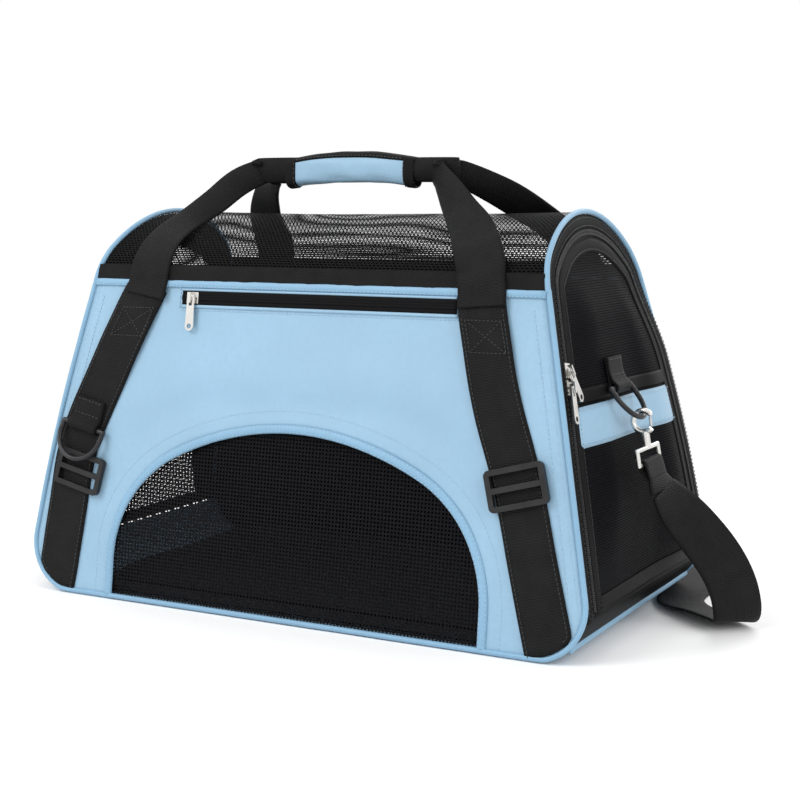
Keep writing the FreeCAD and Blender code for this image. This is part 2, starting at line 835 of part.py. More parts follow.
def hook_gate(label, place):
    """The sprung bar that closes the claw's mouth, hinged at the claw's lower end."""
    hinge, tip = claw_point(CLAW_MOUTH + CLAW_SWEEP), claw_point(CLAW_MOUTH)
    way = tip - hinge
    reach = way.Length - SIZES["hook_wire"] - GATE_GAP - 0.4
    way.normalize()
    seat = Placement(hinge + way * GATE_GAP, Rotation(Vector(0, 0, 1), way))
    gate = bound("Part::Cylinder", label, {"Radius": GATE_RADIUS, "Height": reach})
    return keep(gate, label, place * seat)

for name, place in ends:
    plate(f"{name}_end_frame", place, "YZ", END.band("frame_start", "frame_end", FRAME_FOOT), "skin")
    depth = -size("zip_depth")
    zip_band = END.band("frame_end", "frame_zip_end", FRAME_FOOT)
    plate(f"{name}_frame_zip", place, "YZ", zip_band, "zip_thickness", depth)
    zip_band = END.band("door_zip_start", "door_start", DOOR_FOOT)
    plate(f"{name}_door_zip", place, "YZ", zip_band, "zip_thickness", depth)
    door_panel(f"{name}_door_panel", place)
    window = END.full(DOOR_WINDOW_INSET, DOOR_WINDOW_LOW)
    plate(f"{name}_door_mesh", place, "YZ", window, 2, 2.5)
    patch(f"{name}_door_patch", place)

RING_SWING = 28
RING_ACROSS = -20
HOOK_TILT = 10
RING_DROP = SIZES["ring_arm"] + SIZES["ring_half_width"]
BAR_HEIGHT = RING_HEIGHT / END_COS.value
RING_SEAT = Placement(Vector(RING_X.value, RING_ACROSS, BAR_HEIGHT), Rotation())
SWUNG = Placement(Vector(0, 0, 0), Rotation(Vector(0, 1, 0), -RING_SWING))
TILTED = Rotation(Vector(0, 1, 0), -HOOK_TILT)
HOOK_SEAT = Placement((RIGHT * RING_SEAT * SWUNG).multVec(Vector(0, 0, -RING_DROP)), TILTED)
UPPER_SLIDER, LOWER_SLIDER = 203, 191
UPPER_TURN = 35

for name, place in ends:
    ring_tab(f"{name}_ring_tab", place * RING_SEAT, RING_X - BELLY)
    d_ring(f"{name}_d_ring", place * RING_SEAT * SWUNG)
    hook_place = HOOK_SEAT if name == "right" else TURNED * HOOK_SEAT
    snap_hook(f"{name}_snap_hook", hook_place)
    hook_gate(f"{name}_hook_gate", hook_place)
    for level, height, turn in (("upper", UPPER_SLIDER, UPPER_TURN), ("lower", LOWER_SLIDER, 0)):
        seat = place * door_zip_frame(height)
        slider(f"{name}_{level}_slider", seat, turn)
        turned = Placement(Vector(0, 0, 0), Rotation(Vector(1, 0, 0), turn))
        pull_seat = seat * turned * Placement(Vector(PULL_AXIS, 0, 0), Rotation())
        pull(f"{name}_{level}_pull", pull_seat)

# ---------------------------------------------------------------- pocket slider

# In this frame X points out of the front panel, Y runs down it and Z runs along the pocket zip.
POCKET_SLIDER_ALONG = -104
POCKET_TURN = 90
OUTWARDS = Rotation(Vector(0, -1, 0), Vector(0, 0, -1), Vector(1, 0, 0), "ZXY")
pocket_seat = FRONT * Placement(Vector(POCKET_SLIDER_ALONG, 0, ZIP_HIGH.value), OUTWARDS)
slider("pocket_slider", pocket_seat, POCKET_TURN, guided=False)
pocket_turned = Placement(Vector(0, 0, 0), Rotation(Vector(1, 0, 0), POCKET_TURN))
pull_lift = Placement(Vector(PULL_AXIS, 0, 0), Rotation())
pull("pocket_pull", pocket_seat * pocket_turned * pull_lift)

# ---------------------------------------------------------------- sewn webbing and hardware

WEBBING = size("webbing_thickness")
# Middle line of each sewn strap: place along the panel and height, from the foot to the seam.
LEFT_STRAP = [(-224, 6), (-204, 126), (-174, 200), (-148, 258)]
RIGHT_STRAP = [(223, 6), (190, 121), (153, 222), (152, 258)]


def sewn_strap(label, place, line):
    """A flat strap sewn to a long panel, its edges level with the strap's middle line."""
    half = size("webbing_width") / 2
    right, left = [], []
    for i, (along, height) in enumerate(line):
        before, after = line[max(i - 1, 0)], line[min(i + 1, len(line) - 1)]
        lean = (after[0] - before[0]) / (after[1] - before[1])
        spread = half * math.sqrt(1 + lean * lean)
        climb = size(height) / SIDE_COS
        right.append((along + spread, climb))
        left.append((along - spread, climb))
    body = plate(label, place, "XZ", (right + left[::-1], {}), "webbing_thickness", inwards=False)
    outer = max(abs(right[0][0].value), abs(left[0][0].value))

    def outer_foot(edge):
        box = edge.BoundBox
        return box.XLength < 1e-6 and box.ZLength < 1e-6 and abs(abs(box.XMin) - outer) < 0.01

    round_edges(body, body.Tip, outer_foot, size("lower_corner") - 12)
    return body


def glide(label, place):
    """A plastic strap slide: a rounded frame with a middle bar between two slots."""
    wide, tall, rim = size("glide_length") / 2, size("glide_height") / 2, size("glide_bar")
    body = new_body(label, place)
    sketch = new_sketch(body, "outline", "XZ", WEBBING)
    draw(sketch, *box_outline(-wide, wide, -tall, tall))
    for low, high in ((-tall + rim, -rim / 2), (rim / 2, tall - rim)):
        draw(sketch, *box_outline(-wide + rim, wide - rim, low, high))
    block = pad(body, sketch, "glide_thickness")
    reach = SIZES["glide_length"] / 2 - 0.1

    def corner(edge):
        box = edge.BoundBox
        return box.XLength < 1e-6 and box.ZLength < 1e-6 and abs(box.XMin) > reach

    round_edges(body, block, corner, "glide_bar")
    return body


def on_panel(place, along, height, tilt):
    """A frame on a long panel, turned in the panel's plane."""
    spot = Vector(along, 0, height / SIDE_COS.value)
    return place * Placement(spot, Rotation(Vector(0, 1, 0), tilt))


sewn_strap("front_left_strap", FRONT, LEFT_STRAP)
sewn_strap("front_right_strap", FRONT, RIGHT_STRAP)
sewn_strap("back_right_strap", BACK, LEFT_STRAP)
sewn_strap("back_left_strap", BACK, RIGHT_STRAP)
glide("front_left_glide", on_panel(FRONT, -205, 101, 12))
glide("front_right_glide", on_panel(FRONT, 190, 121, -15))
glide("back_right_glide", on_panel(BACK, -205, 101, 12))
glide("back_left_glide", on_panel(BACK, 190, 121, -15))

FRONT_RING_SWING = 12
TAB_WALL = size("ring_wire") + size("running_gap") + 1
front_ring_depth = WEBBING + TAB_WALL
spot = Placement(Vector(0, -front_ring_depth.value, 0), Rotation(Vector(0, 0, 1), -90))
front_ring_seat = on_panel(FRONT, -203, 138, 12) * spot
ring_tab("front_ring_tab", front_ring_seat, TAB_WALL)
front_swung = Placement(Vector(0, 0, 0), Rotation(Vector(0, 1, 0), -FRONT_RING_SWING))
d_ring("front_d_ring", front_ring_seat * front_swung)

# ---------------------------------------------------------------- handle

FULL = SIZES["webbing_width"]
FOLDED = SIZES["folded_width"]
THIN = SIZES["webbing_thickness"]
WRAP_HEIGHT = SIZES["wrap_middle_height"]
# Each half of a handle loop: place along, place across and height of the webbing's middle,
# from the seam, over the roof, to the wrap.
FRONT_LEFT_RISE = [
    (-148, -99.4, 260),
    (-148, -99.2, 268),
    (-147, -94, 279),
    (-146, -83.8, 291.5),
    (-144, -68.5, 301.5),
    (-140, -49.5, 311.5),
    (-129, -34, 324),
    (-112, -24, 340),
    (-94, -18, 349.5),
    (-78, -15.5, 351),
]
FRONT_RIGHT_RISE = [
    (152, -99.4, 260),
    (151, -99.2, 268),
    (149, -94, 279),
    (143, -84.5, 292),
    (133, -70, 303.5),
    (118, -55, 315),
    (102, -40, 328),
    (88, -27, 340),
    (77, -18, 348),
    (67, -15.5, 350.5),
]
BACK_LEFT_RISE = [
    (-152, 99.4, 260),
    (-151, 99.2, 268),
    (-149, 94, 279),
    (-145, 83.8, 291.5),
    (-139, 68, 303),
    (-128, 47, 316),
    (-114, 28, 329),
    (-98, 10, 341),
    (-84, -3, 348),
    (-72, -8.5, 350),
]
BACK_RIGHT_RISE = [(-along, across, height) for along, across, height in BACK_LEFT_RISE]


def ribbon(label, stations):
    """A band through stations, each a middle, the direction of its width, a width and a
    thickness, with flat stretches between them."""
    wires = []
    for i, (middle, across, width, thickness) in enumerate(stations):
        before, after = stations[max(i - 1, 0)][0], stations[min(i + 1, len(stations) - 1)][0]
        along = Vector(*after) - Vector(*before)
        along.normalize()
        side = Vector(*across)
        side = side - along * side.dot(along)
        side.normalize()
        up = along.cross(side) * (thickness / 2)
        side = side * (width / 2)
        centre = Vector(*middle)
        loop = [centre + side + up, centre - side + up, centre - side - up, centre + side - up]
        wires.append(Part.makePolygon(loop + loop[:1]))
    thing = doc.addObject("Part::Feature", label)
    thing.Shape = Part.makeLoft(wires, True, True)
    return keep(thing, label)


def half_loop(rise, left):
    """Stations of one half of a handle loop, flat at the seam, folded and upright at the wrap."""
    stations = []
    for i, middle in enumerate(rise):
        turn = max(i - len(rise) + 5, 0) / 4
        angle = math.radians(88 * turn)
        side = (math.cos(angle) if left else -math.cos(angle), 0, -math.sin(angle))
        width = FULL - (FULL - FOLDED) * turn
        stations.append((middle, side, width, THIN * (1 + 0.8 * turn)))
    return stations


for label, left_rise, right_rise in (
    ("front_handle_webbing", FRONT_LEFT_RISE, FRONT_RIGHT_RISE),
    ("back_handle_webbing", BACK_LEFT_RISE, BACK_RIGHT_RISE),
):
    ribbon(label, half_loop(left_rise, True) + half_loop(right_rise, False)[::-1])

wrap_seat = Vector(SIZES["wrap_middle_along"], SIZES["wrap_middle_across"], WRAP_HEIGHT)
wrap = new_body("handle_wrap", Placement(wrap_seat, Rotation()))
section = new_sketch(wrap, "section", "YZ")
DEEP, TALL = size("wrap_deep") / 2, size("wrap_tall") / 2
draw(section, *box_outline(-DEEP, DEEP, -TALL, TALL))
block_of_wrap = pad(wrap, section, "wrap_length", both=True)
round_edges(wrap, block_of_wrap, lambda edge: edge.BoundBox.XLength > 50, 6)
WRAP_SKIN = size("wrap_skin")
inner = box_outline(WRAP_SKIN - DEEP, DEEP - WRAP_SKIN, WRAP_SKIN - TALL, TALL - WRAP_SKIN)
cut(wrap, "sleeve", "YZ", inner)

# ---------------------------------------------------------------- shoulder strap

# Middle line of the strap and the direction of its width, from the right hook's eye down to
# the ground beside the end, along the ground behind the carrier, and up to the left hook's eye.
LOW = THIN / 2 + 0.2
STRAP_ROUTE = [
    ((256, -20, 126), (0, 1, 0)),
    ((262, -20, 115), (0.03, 1, 0.03)),
    ((275, -16, 99), (0.4, 0.75, 0.5)),
    ((291, -11, 82), (0.6, 0.4, 0.7)),
    ((310, -5, 60), (0.66, 0.35, 0.67)),
    ((321, 1, 37), (0.8, 0.36, 0.45)),
    ((323, 8, 17), (0.85, 0.5, 0)),
    ((320, 15, 5), (0.8, 0.6, 0)),
    ((308, 27, LOW), (0.75, 0.66, 0)),
    ((288, 45, LOW), (0.68, 0.73, 0)),
    ((266, 62, LOW), (0.64, 0.77, 0)),
    ((250, 80, LOW), (0.8, 0.6, 0)),
    ((246, 103, LOW), (1, 0.05, 0)),
    ((249, 128, LOW), (1, -0.02, 0)),
    ((247, 152, LOW), (0.97, 0.25, 0)),
    ((236, 174, LOW), (0.8, 0.6, 0)),
    ((215, 189, LOW), (0.45, 0.9, 0)),
    ((184, 197, LOW), (0.2, 0.98, 0)),
    ((140, 199, LOW), (0, 1, 0)),
    ((86, 195, LOW), (-0.05, 1, 0)),
    ((30, 196, LOW), (0.03, 1, 0)),
    ((-30, 200, LOW), (0.05, 1, 0)),
    ((-86, 201, LOW), (0, 1, 0)),
    ((-140, 198, LOW), (-0.08, 1, 0)),
    ((-184, 192, LOW), (-0.2, 0.98, 0)),
    ((-215, 181, LOW), (-0.5, 0.85, 0)),
    ((-236, 163, LOW), (-0.8, 0.6, 0)),
    ((-249, 140, LOW), (-0.95, 0.3, 0)),
    ((-258, 116, LOW), (-0.93, 0.36, 0)),
    ((-270, 94, LOW), (-0.85, 0.5, 0)),
    ((-284, 74, LOW + 1), (-0.8, 0.6, 0)),
    ((-296, 58, 8), (-0.75, 0.65, 0)),
    ((-301, 48, 24), (-0.6, 0.75, -0.2)),
    ((-298, 40, 48), (-0.35, 0.9, -0.2)),
    ((-287, 32, 74), (-0.2, 0.95, -0.15)),
    ((-274, 25, 97), (-0.05, 0.99, 0)),
    ((-263, 20, 113), (0, 1, 0)),
    ((-256, 20, 126), (0, 1, 0)),
]
ribbon("shoulder_strap", [(middle, side, FULL, THIN) for middle, side in STRAP_ROUTE])
length = sum(
    (Vector(*b[0]) - Vector(*a[0])).Length for a, b in zip(STRAP_ROUTE, STRAP_ROUTE[1:])
)
print(f"shoulder strap {length:.0f} mm along its runs, {FULL:.0f} by {THIN:.1f} mm")
strap_volume = kept[-1].Shape.Volume
print(f"shoulder strap volume is {strap_volume / (FULL * THIN * length):.3f} of section times length")
ADJUSTER_ALONG, ADJUSTER_ACROSS = -58, 200.8
lying = Placement(Vector(ADJUSTER_ALONG, ADJUSTER_ACROSS, 0.4), Rotation(Vector(1, 0, 0), -90))
upended = Placement(Vector(0, 0, 0), Rotation(Vector(0, 1, 0), 90))
glide("strap_adjuster", lying * upended)
group("arch_piping", ("right_arch_piping", "left_arch_piping"))
group("seam_strips", ("front_seam_strip", "back_seam_strip"))
group("back_glides", ("back_right_glide", "back_left_glide"))

# ---------------------------------------------------------------- write


def check_and_write():
    """Stops on a failed object, then writes each sub-part to its own file."""
    doc.recompute()
    for thing in doc.Objects:
        if {"Invalid", "Error"} & set(thing.State):
            raise RuntimeError(f"{thing.Label} failed: {thing.State}")
    os.makedirs("parts", exist_ok=True)
    for thing in kept:
        shape = thing.Shape
        if shape.isNull() or not shape.isValid() or not shape.Solids:
            raise RuntimeError(f"{thing.Label} has no valid solid")
        shape.exportStep(f"parts/{thing.Label}.step")
        print(f"{thing.Label:26s} solids {len(shape.Solids)} volume {shape.Volume / 1000:9.2f} cm3")


check_and_write()
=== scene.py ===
"""Soft-sided pet carrier: the visual model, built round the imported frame. Metres, +Z up."""
import json
import math

import bpy
from mathutils import Matrix, Vector, noise


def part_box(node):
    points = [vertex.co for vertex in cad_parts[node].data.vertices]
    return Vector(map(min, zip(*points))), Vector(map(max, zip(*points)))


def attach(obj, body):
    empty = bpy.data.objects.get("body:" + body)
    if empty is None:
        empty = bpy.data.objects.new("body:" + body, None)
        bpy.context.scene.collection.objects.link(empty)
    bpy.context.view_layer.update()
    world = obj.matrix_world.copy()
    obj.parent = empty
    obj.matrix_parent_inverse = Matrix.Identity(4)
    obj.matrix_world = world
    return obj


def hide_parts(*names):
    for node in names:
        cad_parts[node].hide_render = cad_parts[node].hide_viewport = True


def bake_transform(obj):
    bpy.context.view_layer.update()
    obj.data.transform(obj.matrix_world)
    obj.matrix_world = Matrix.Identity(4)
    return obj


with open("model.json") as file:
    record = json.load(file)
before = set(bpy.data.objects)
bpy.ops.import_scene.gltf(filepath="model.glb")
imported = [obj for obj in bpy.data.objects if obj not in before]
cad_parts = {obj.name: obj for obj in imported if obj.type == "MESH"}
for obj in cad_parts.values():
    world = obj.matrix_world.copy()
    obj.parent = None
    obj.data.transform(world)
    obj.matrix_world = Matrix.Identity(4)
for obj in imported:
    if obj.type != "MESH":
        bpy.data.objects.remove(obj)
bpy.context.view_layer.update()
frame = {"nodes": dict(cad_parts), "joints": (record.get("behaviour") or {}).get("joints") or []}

# ---------------------------------------------------------------- driving sizes

HALF_LENGTH, HALF_DEPTH = 0.255, 0.135
END_LEAN, SIDE_LEAN = 0.2035, 0.147
SEAM, ROOF_RISE, SHOULDER = 0.261, 0.055, 0.042
LOWER_CORNER, TURN_UP = 0.038, 0.032
END_COS = 1 / math.hypot(1, END_LEAN)
END_SIN = END_LEAN * END_COS
SIDE_COS = 1 / math.hypot(1, SIDE_LEAN)
SIDE_SIN = SIDE_LEAN * SIDE_COS
SEAM_UP = SEAM / SIDE_COS
DOOR_FOOT = TURN_UP / END_COS + 0.0005
BELLY = 0.009
BACK_BOW = 0.006
WEBBING_WIDTH, WEBBING_THICKNESS = 0.038, 0.0016
FOLDED_WIDTH, FOLD_THICKNESS = 0.021, 0.0013
PIPE = 0.0021
TURNED = Matrix.Rotation(math.pi, 4, "Z")
SIDES = {"front": Matrix.Identity(4), "back": TURNED}
ENDS = {"right": Matrix.Identity(4), "left": TURNED}
BAG_MIDDLE = Vector((0, 0, 0.15))


def smooth_step(low, high, value):
    """0 below low, 1 above high, and an even curve between."""
    share = min(max((value - low) / (high - low), 0.0), 1.0)
    return share * share * (3 - 2 * share)


def half_length(height):
    return HALF_LENGTH - END_LEAN * height


def half_depth(height):
    return HALF_DEPTH - SIDE_LEAN * height


def warped(point):
    """Bows the right end outwards along its back edge, and the left end along its front edge."""
    side = 1 if point.x > 0 else -1
    up = math.sin(math.pi * min(max(point.z / 0.28, 0), 1))
    share = smooth_step(0.0, 0.085, point.y * side) * smooth_step(0.13, 0.22, abs(point.x))
    return point + Vector((side * BACK_BOW * up * share, 0, 0))


def on_side(along, up, out=0.0):
    """A point on the front long panel: along X, up its slope, and out of it."""
    return Vector((along, -HALF_DEPTH + up * SIDE_SIN - out * SIDE_COS, up * SIDE_COS + out * SIDE_SIN))


def on_end(across, up, out=0.0):
    """A point on the right end's plane: across along Y, up its slope, and out of it."""
    return Vector((HALF_LENGTH - up * END_SIN + out * END_COS, across, up * END_COS + out * END_SIN))


# ---------------------------------------------------------------- outlines


class Arch:
    """Leaning straight sides joined by a shoulder arc, a wide crown arc and a shoulder arc."""

    def __init__(self, half, spring, rise, shoulder, lean):
        self.half, self.spring, self.shoulder, self.lean = half, spring, shoulder, lean
        self.cos = 1 / math.hypot(1, lean)
        self.sin = lean * self.cos
        self.across = half - shoulder * self.cos
        reach = rise + shoulder * self.sin
        self.crown = (self.across**2 + reach**2 - shoulder**2) / (2 * (reach - shoulder))
        self.middle = spring + rise - self.crown
        self.turn = math.atan2(self.crown - reach, self.across)

    def side(self, height, inset=0.0):
        return self.half + self.lean * (self.spring - height) - inset / self.cos

    def half_line(self, inset, foot, straight, curved):
        """Points from one foot to the middle of the crown."""
        points = []
        top = self.spring - inset * self.sin
        for i in range(straight):
            up = foot + (top - foot) * i / straight
            points.append((self.side(up, inset), up))
        start = math.atan2(self.sin, self.cos)
        centre = (self.across, self.spring - self.shoulder * self.sin)
        for i in range(curved):
            angle = start + (self.turn - start) * i / curved
            radius = self.shoulder - inset
            points.append((centre[0] + radius * math.cos(angle), centre[1] + radius * math.sin(angle)))
        for i in range(curved + 1):
            angle = self.turn + (math.pi / 2 - self.turn) * i / curved
            radius = self.crown - inset
            points.append((radius * math.cos(angle), self.middle + radius * math.sin(angle)))
        return points

    def line(self, inset=0.0, foot=0.0, straight=40, curved=14):
        """Points from the foot at plus across, over the top, to the foot at minus across."""
        half = self.half_line(inset, foot, straight, curved)
        return half + [(-a, b) for a, b in half[-2::-1]]


END_ARCH = Arch(half_depth(SEAM), SEAM / END_COS, ROOF_RISE / END_COS, SHOULDER, SIDE_LEAN * END_COS)
ROOF_ARCH = Arch(half_depth(SEAM), SEAM, ROOF_RISE, SHOULDER, SIDE_LEAN)
WINDOW_ARCH = Arch(0.170, 0.030, 0.121, 0.105, 0.0001)


def arc_points(centre, radius, start, end, count):
    return [
        (
            centre[0] + radius * math.cos(start + (end - start) * i / count),
            centre[1] + radius * math.sin(start + (end - start) * i / count),
        )
        for i in range(count + 1)
    ]


def panel_half(inset=0.0, foot=0.0, bottom=10, corner=12, side=44, top=60):
    """Half a long panel's outline from the middle of its foot to the middle of its top."""
    lean = math.atan(END_LEAN * SIDE_COS)
    edge = HALF_LENGTH - inset / math.cos(lean)
    radius = LOWER_CORNER - inset
    slope = math.tan(lean)
    centre_up = foot + radius
    centre_along = edge - slope * centre_up - radius / math.cos(lean)
    points = [(centre_along * i / bottom, foot) for i in range(bottom)]
    points += arc_points((centre_along, centre_up), radius, -math.pi / 2, lean, corner)
    begin = points[-1]
    end = (edge - slope * SEAM_UP, SEAM_UP)
    for i in range(1, side + 1):
        points.append(tuple(a + (b - a) * i / side for a, b in zip(begin, end)))
    for i in range(1, top + 1):
        points.append((end[0] * (1 - i / top), SEAM_UP))
    return points


def resampled(points, count):
    """The same line with its points evenly spaced."""
    points = [Vector(p) for p in points]
    lengths = [0.0]
    for a, b in zip(points, points[1:]):
        lengths.append(lengths[-1] + (b - a).length)
    out, k = [], 0
    for i in range(count):
        target = lengths[-1] * i / (count - 1)
        while k < len(lengths) - 2 and lengths[k + 1] < target:
            k += 1
        span = lengths[k + 1] - lengths[k]
        share = (target - lengths[k]) / span if span else 0
        out.append(points[k].lerp(points[k + 1], share))
    return out


def catmull(points, steps):
    """A smooth line through every point, with steps spans between neighbours."""
    points = [Vector(p) for p in points]
    padded = [points[0] * 2 - points[1]] + points + [points[-1] * 2 - points[-2]]
    out = []
    for i in range(1, len(padded) - 2):
        a, b, c, d = padded[i - 1 : i + 3]
        for k in range(steps):
            t = k / steps
            bend = (2 * a - 5 * b + 4 * c - d) * t * t
            out.append(0.5 * (2 * b + (c - a) * t + bend + (3 * b - a - 3 * c + d) * t**3))
    return out + [points[-1]]


# ---------------------------------------------------------------- mesh makers


def mesh_piece(name, verts, faces, uvs=None, material=None, flat=False):
    """A piece from vertices and faces, with one UV for each vertex."""
    mesh = bpy.data.meshes.new(name)
    mesh.from_pydata([tuple(v) for v in verts], [], faces)
    if uvs:
        layer = mesh.uv_layers.new(name="UVMap")
        for loop in mesh.loops:
            layer.data[loop.index].uv = uvs[loop.vertex_index]
    mesh.validate()
    for polygon in mesh.polygons:
        polygon.use_smooth = not flat
    piece = bpy.data.objects.new(name, mesh)
    bpy.context.scene.collection.objects.link(piece)
    for one in material if isinstance(material, (list, tuple)) else [material]:
        if one:
            mesh.materials.append(one)
    return piece


def grid(name, rows, material, uvs=None):
    """A sheet through rows of points. Without uvs, they are the lengths along and across."""
    count = len(rows[0])
    verts = [p for row in rows for p in row]
    faces = []
    for i in range(len(rows) - 1):
        for j in range(count - 1):
            k = j + 1
            faces.append((i * count + j, i * count + k, (i + 1) * count + k, (i + 1) * count + j))
    if uvs is None:
        flat_uvs = []
        down = 0.0
        for i, row in enumerate(rows):
            if i:
                down += (row[count // 2] - rows[i - 1][count // 2]).length
            across = 0.0
            for j, p in enumerate(row):
                if j:
                    across += (p - row[j - 1]).length
                flat_uvs.append((across, down))
    else:
        flat_uvs = [uv for row in uvs for uv in row]
    return mesh_piece(name, verts, faces, flat_uvs, material)


def turn_out(piece, middle):
    """Flips a sheet's faces if they look towards the point that they should look away from."""
    look = sum(f.area * f.normal.dot(f.center - middle) for f in piece.data.polygons)
    if look < 0:
        piece.data.flip_normals()


def thicken(piece, thickness, offset=-1.0, lining=0, middle=BAG_MIDDLE):
    """Gives a sheet its thickness. The lining is how many material slots its back is past its face."""
    turn_out(piece, middle)
    solid = piece.modifiers.new("thickness", "SOLIDIFY")
    solid.thickness = thickness
    solid.offset = offset
    solid.material_offset = lining
    return piece


def ring_sheet(name, inner, outer, rows, place, material):
    """A sheet between two plane outlines with matching points. place turns a plane point into space."""
    sheet, uvs = [], []
    for i in range(rows + 1):
        share = i / rows
        line = [(a[0] + (b[0] - a[0]) * share, a[1] + (b[1] - a[1]) * share) for a, b in zip(inner, outer)]
        sheet.append([place(*p) for p in line])
        uvs.append(line)
    return grid(name, sheet, material, uvs)


def disc_sheet(name, outline, rings, place, material):
    """A sheet that fills a closed plane outline, as rings that shrink to its middle."""
    count = len(outline)
    middle = (sum(p[0] for p in outline) / count, sum(p[1] for p in outline) / count)
    verts, uvs, faces = [], [], []
    for i in range(rings):
        share = i / rings
        for p in outline:
            spot = (p[0] + (middle[0] - p[0]) * share, p[1] + (middle[1] - p[1]) * share)
            uvs.append(spot)
            verts.append(place(*spot))
    uvs.append(middle)
    verts.append(place(*middle))
    for i in range(rings - 1):
        for j in range(count):
            k = (j + 1) % count
            faces.append((i * count + j, i * count + k, (i + 1) * count + k, (i + 1) * count + j))
    last = (rings - 1) * count
    for j in range(count):
        faces.append((last + j, last + (j + 1) % count, rings * count))
    return mesh_piece(name, verts, faces, uvs, material)


def frames_along(path, normal_of):
    """At each point of a path: the point, its direction, the surface's normal and the way across."""
    out = []
    for i, p in enumerate(path):
        ahead = (path[min(i + 1, len(path) - 1)] - path[max(i - 1, 0)]).normalized()
        normal = normal_of(i, p)
        normal = (normal - ahead * normal.dot(ahead)).normalized()
        out.append((p, ahead, normal, ahead.cross(normal)))
    return out


def swept(name, path, section, normal_of, material, caps=True):
    """A closed section, as (across, out) points, swept along a path."""
    verts, uvs, faces = [], [], []
    count, along, before = len(section), 0.0, None
    for p, ahead, normal, across in frames_along(path, normal_of):
        along += (p - before).length if before else 0.0
        before = p
        girth = 0.0
        for k, (a, n) in enumerate(section):
            if k:
                girth += math.dist(section[k], section[k - 1])
            verts.append(p + across * a + normal * n)
            uvs.append((girth, along))
    for i in range(len(path) - 1):
        for j in range(count):
            k = (j + 1) % count
            faces.append((i * count + j, i * count + k, (i + 1) * count + k, (i + 1) * count + j))
    if caps:
        faces.append(tuple(range(count))[::-1])
        faces.append(tuple((len(path) - 1) * count + k for k in range(count)))
    return mesh_piece(name, verts, faces, uvs, material)


def round_section(radius, count=10):
    return [
        (radius * math.cos(2 * math.pi * i / count), radius * math.sin(2 * math.pi * i / count))
        for i in range(count)
    ]


def tape_section(width, thick, bulge=0.0, count=8):
    """A flat tape's section with rounded edges and a slightly raised middle."""
    top = []
    for i in range(count + 1):
        across = -width / 2 + width * i / count
        share = 1 - (2 * across / width) ** 4
        top.append((across, thick * (0.35 + 0.65 * share) + bulge * (1 - (2 * across / width) ** 2)))
    return [(width / 2, 0.0), (-width / 2, 0.0)] + top


def dashes(
    name, path, normal_of, material, pitch=0.0034, length=0.0024, radius=0.00032, lift=0.0002, shift=0.0
):
    """A line of stitches: a short rounded thread for each, lying along a path."""
    spans = sum((b - a).length for a, b in zip(path, path[1:]))
    count = max(int(spans / pitch), 1)
    even = resampled(path, count * 2 + 1)
    verts, faces = [], []
    ring = 5
    for i in range(count):
        p = even[2 * i + 1]
        ahead = (even[2 * i + 2] - even[2 * i]).normalized()
        normal = normal_of(i, p)
        normal = (normal - ahead * normal.dot(ahead)).normalized()
        across = ahead.cross(normal)
        p = p + across * shift
        base = len(verts)
        for share, size in ((-0.5, 0.25), (-0.36, 1.0), (0.36, 1.0), (0.5, 0.25)):
            dip = -radius * 0.9 if abs(share) == 0.5 else lift
            centre = p + ahead * (length * share) + normal * dip
            for k in range(ring):
                angle = 2 * math.pi * k / ring
                verts.append(centre + (across * math.cos(angle) + normal * math.sin(angle)) * radius * size)
        for level in range(3):
            for k in range(ring):
                m = (k + 1) % ring
                a = base + level * ring
                faces.append((a + k, a + m, a + ring + m, a + ring + k))
        faces.append(tuple(base + k for k in range(ring))[::-1])
        faces.append(tuple(base + 3 * ring + k for k in range(ring)))
    return mesh_piece(name, verts, faces, [(v.x, v.y) for v in verts], material)


def ribbon(name, centres, sides, widths, thickness, material, columns=8):
    """Webbing through smooth centres with the direction of its width at each."""
    rows, uvs, along = [], [], 0.0
    for i, centre in enumerate(centres):
        ahead = (centres[min(i + 1, len(centres) - 1)] - centres[max(i - 1, 0)]).normalized()
        side = (sides[i] - ahead * sides[i].dot(ahead)).normalized()
        if i:
            along += (centre - centres[i - 1]).length
        row, uv = [], []
        for k in range(columns + 1):
            share = 2 * k / columns - 1
            row.append(centre + side * (widths[i] / 2 * share))
            uv.append((share * WEBBING_WIDTH / 2, along))
        rows.append(row)
        uvs.append(uv)
    piece = grid(name, rows, material, uvs)
    return thicken(piece, thickness, 0.0)


# ---------------------------------------------------------------- materials


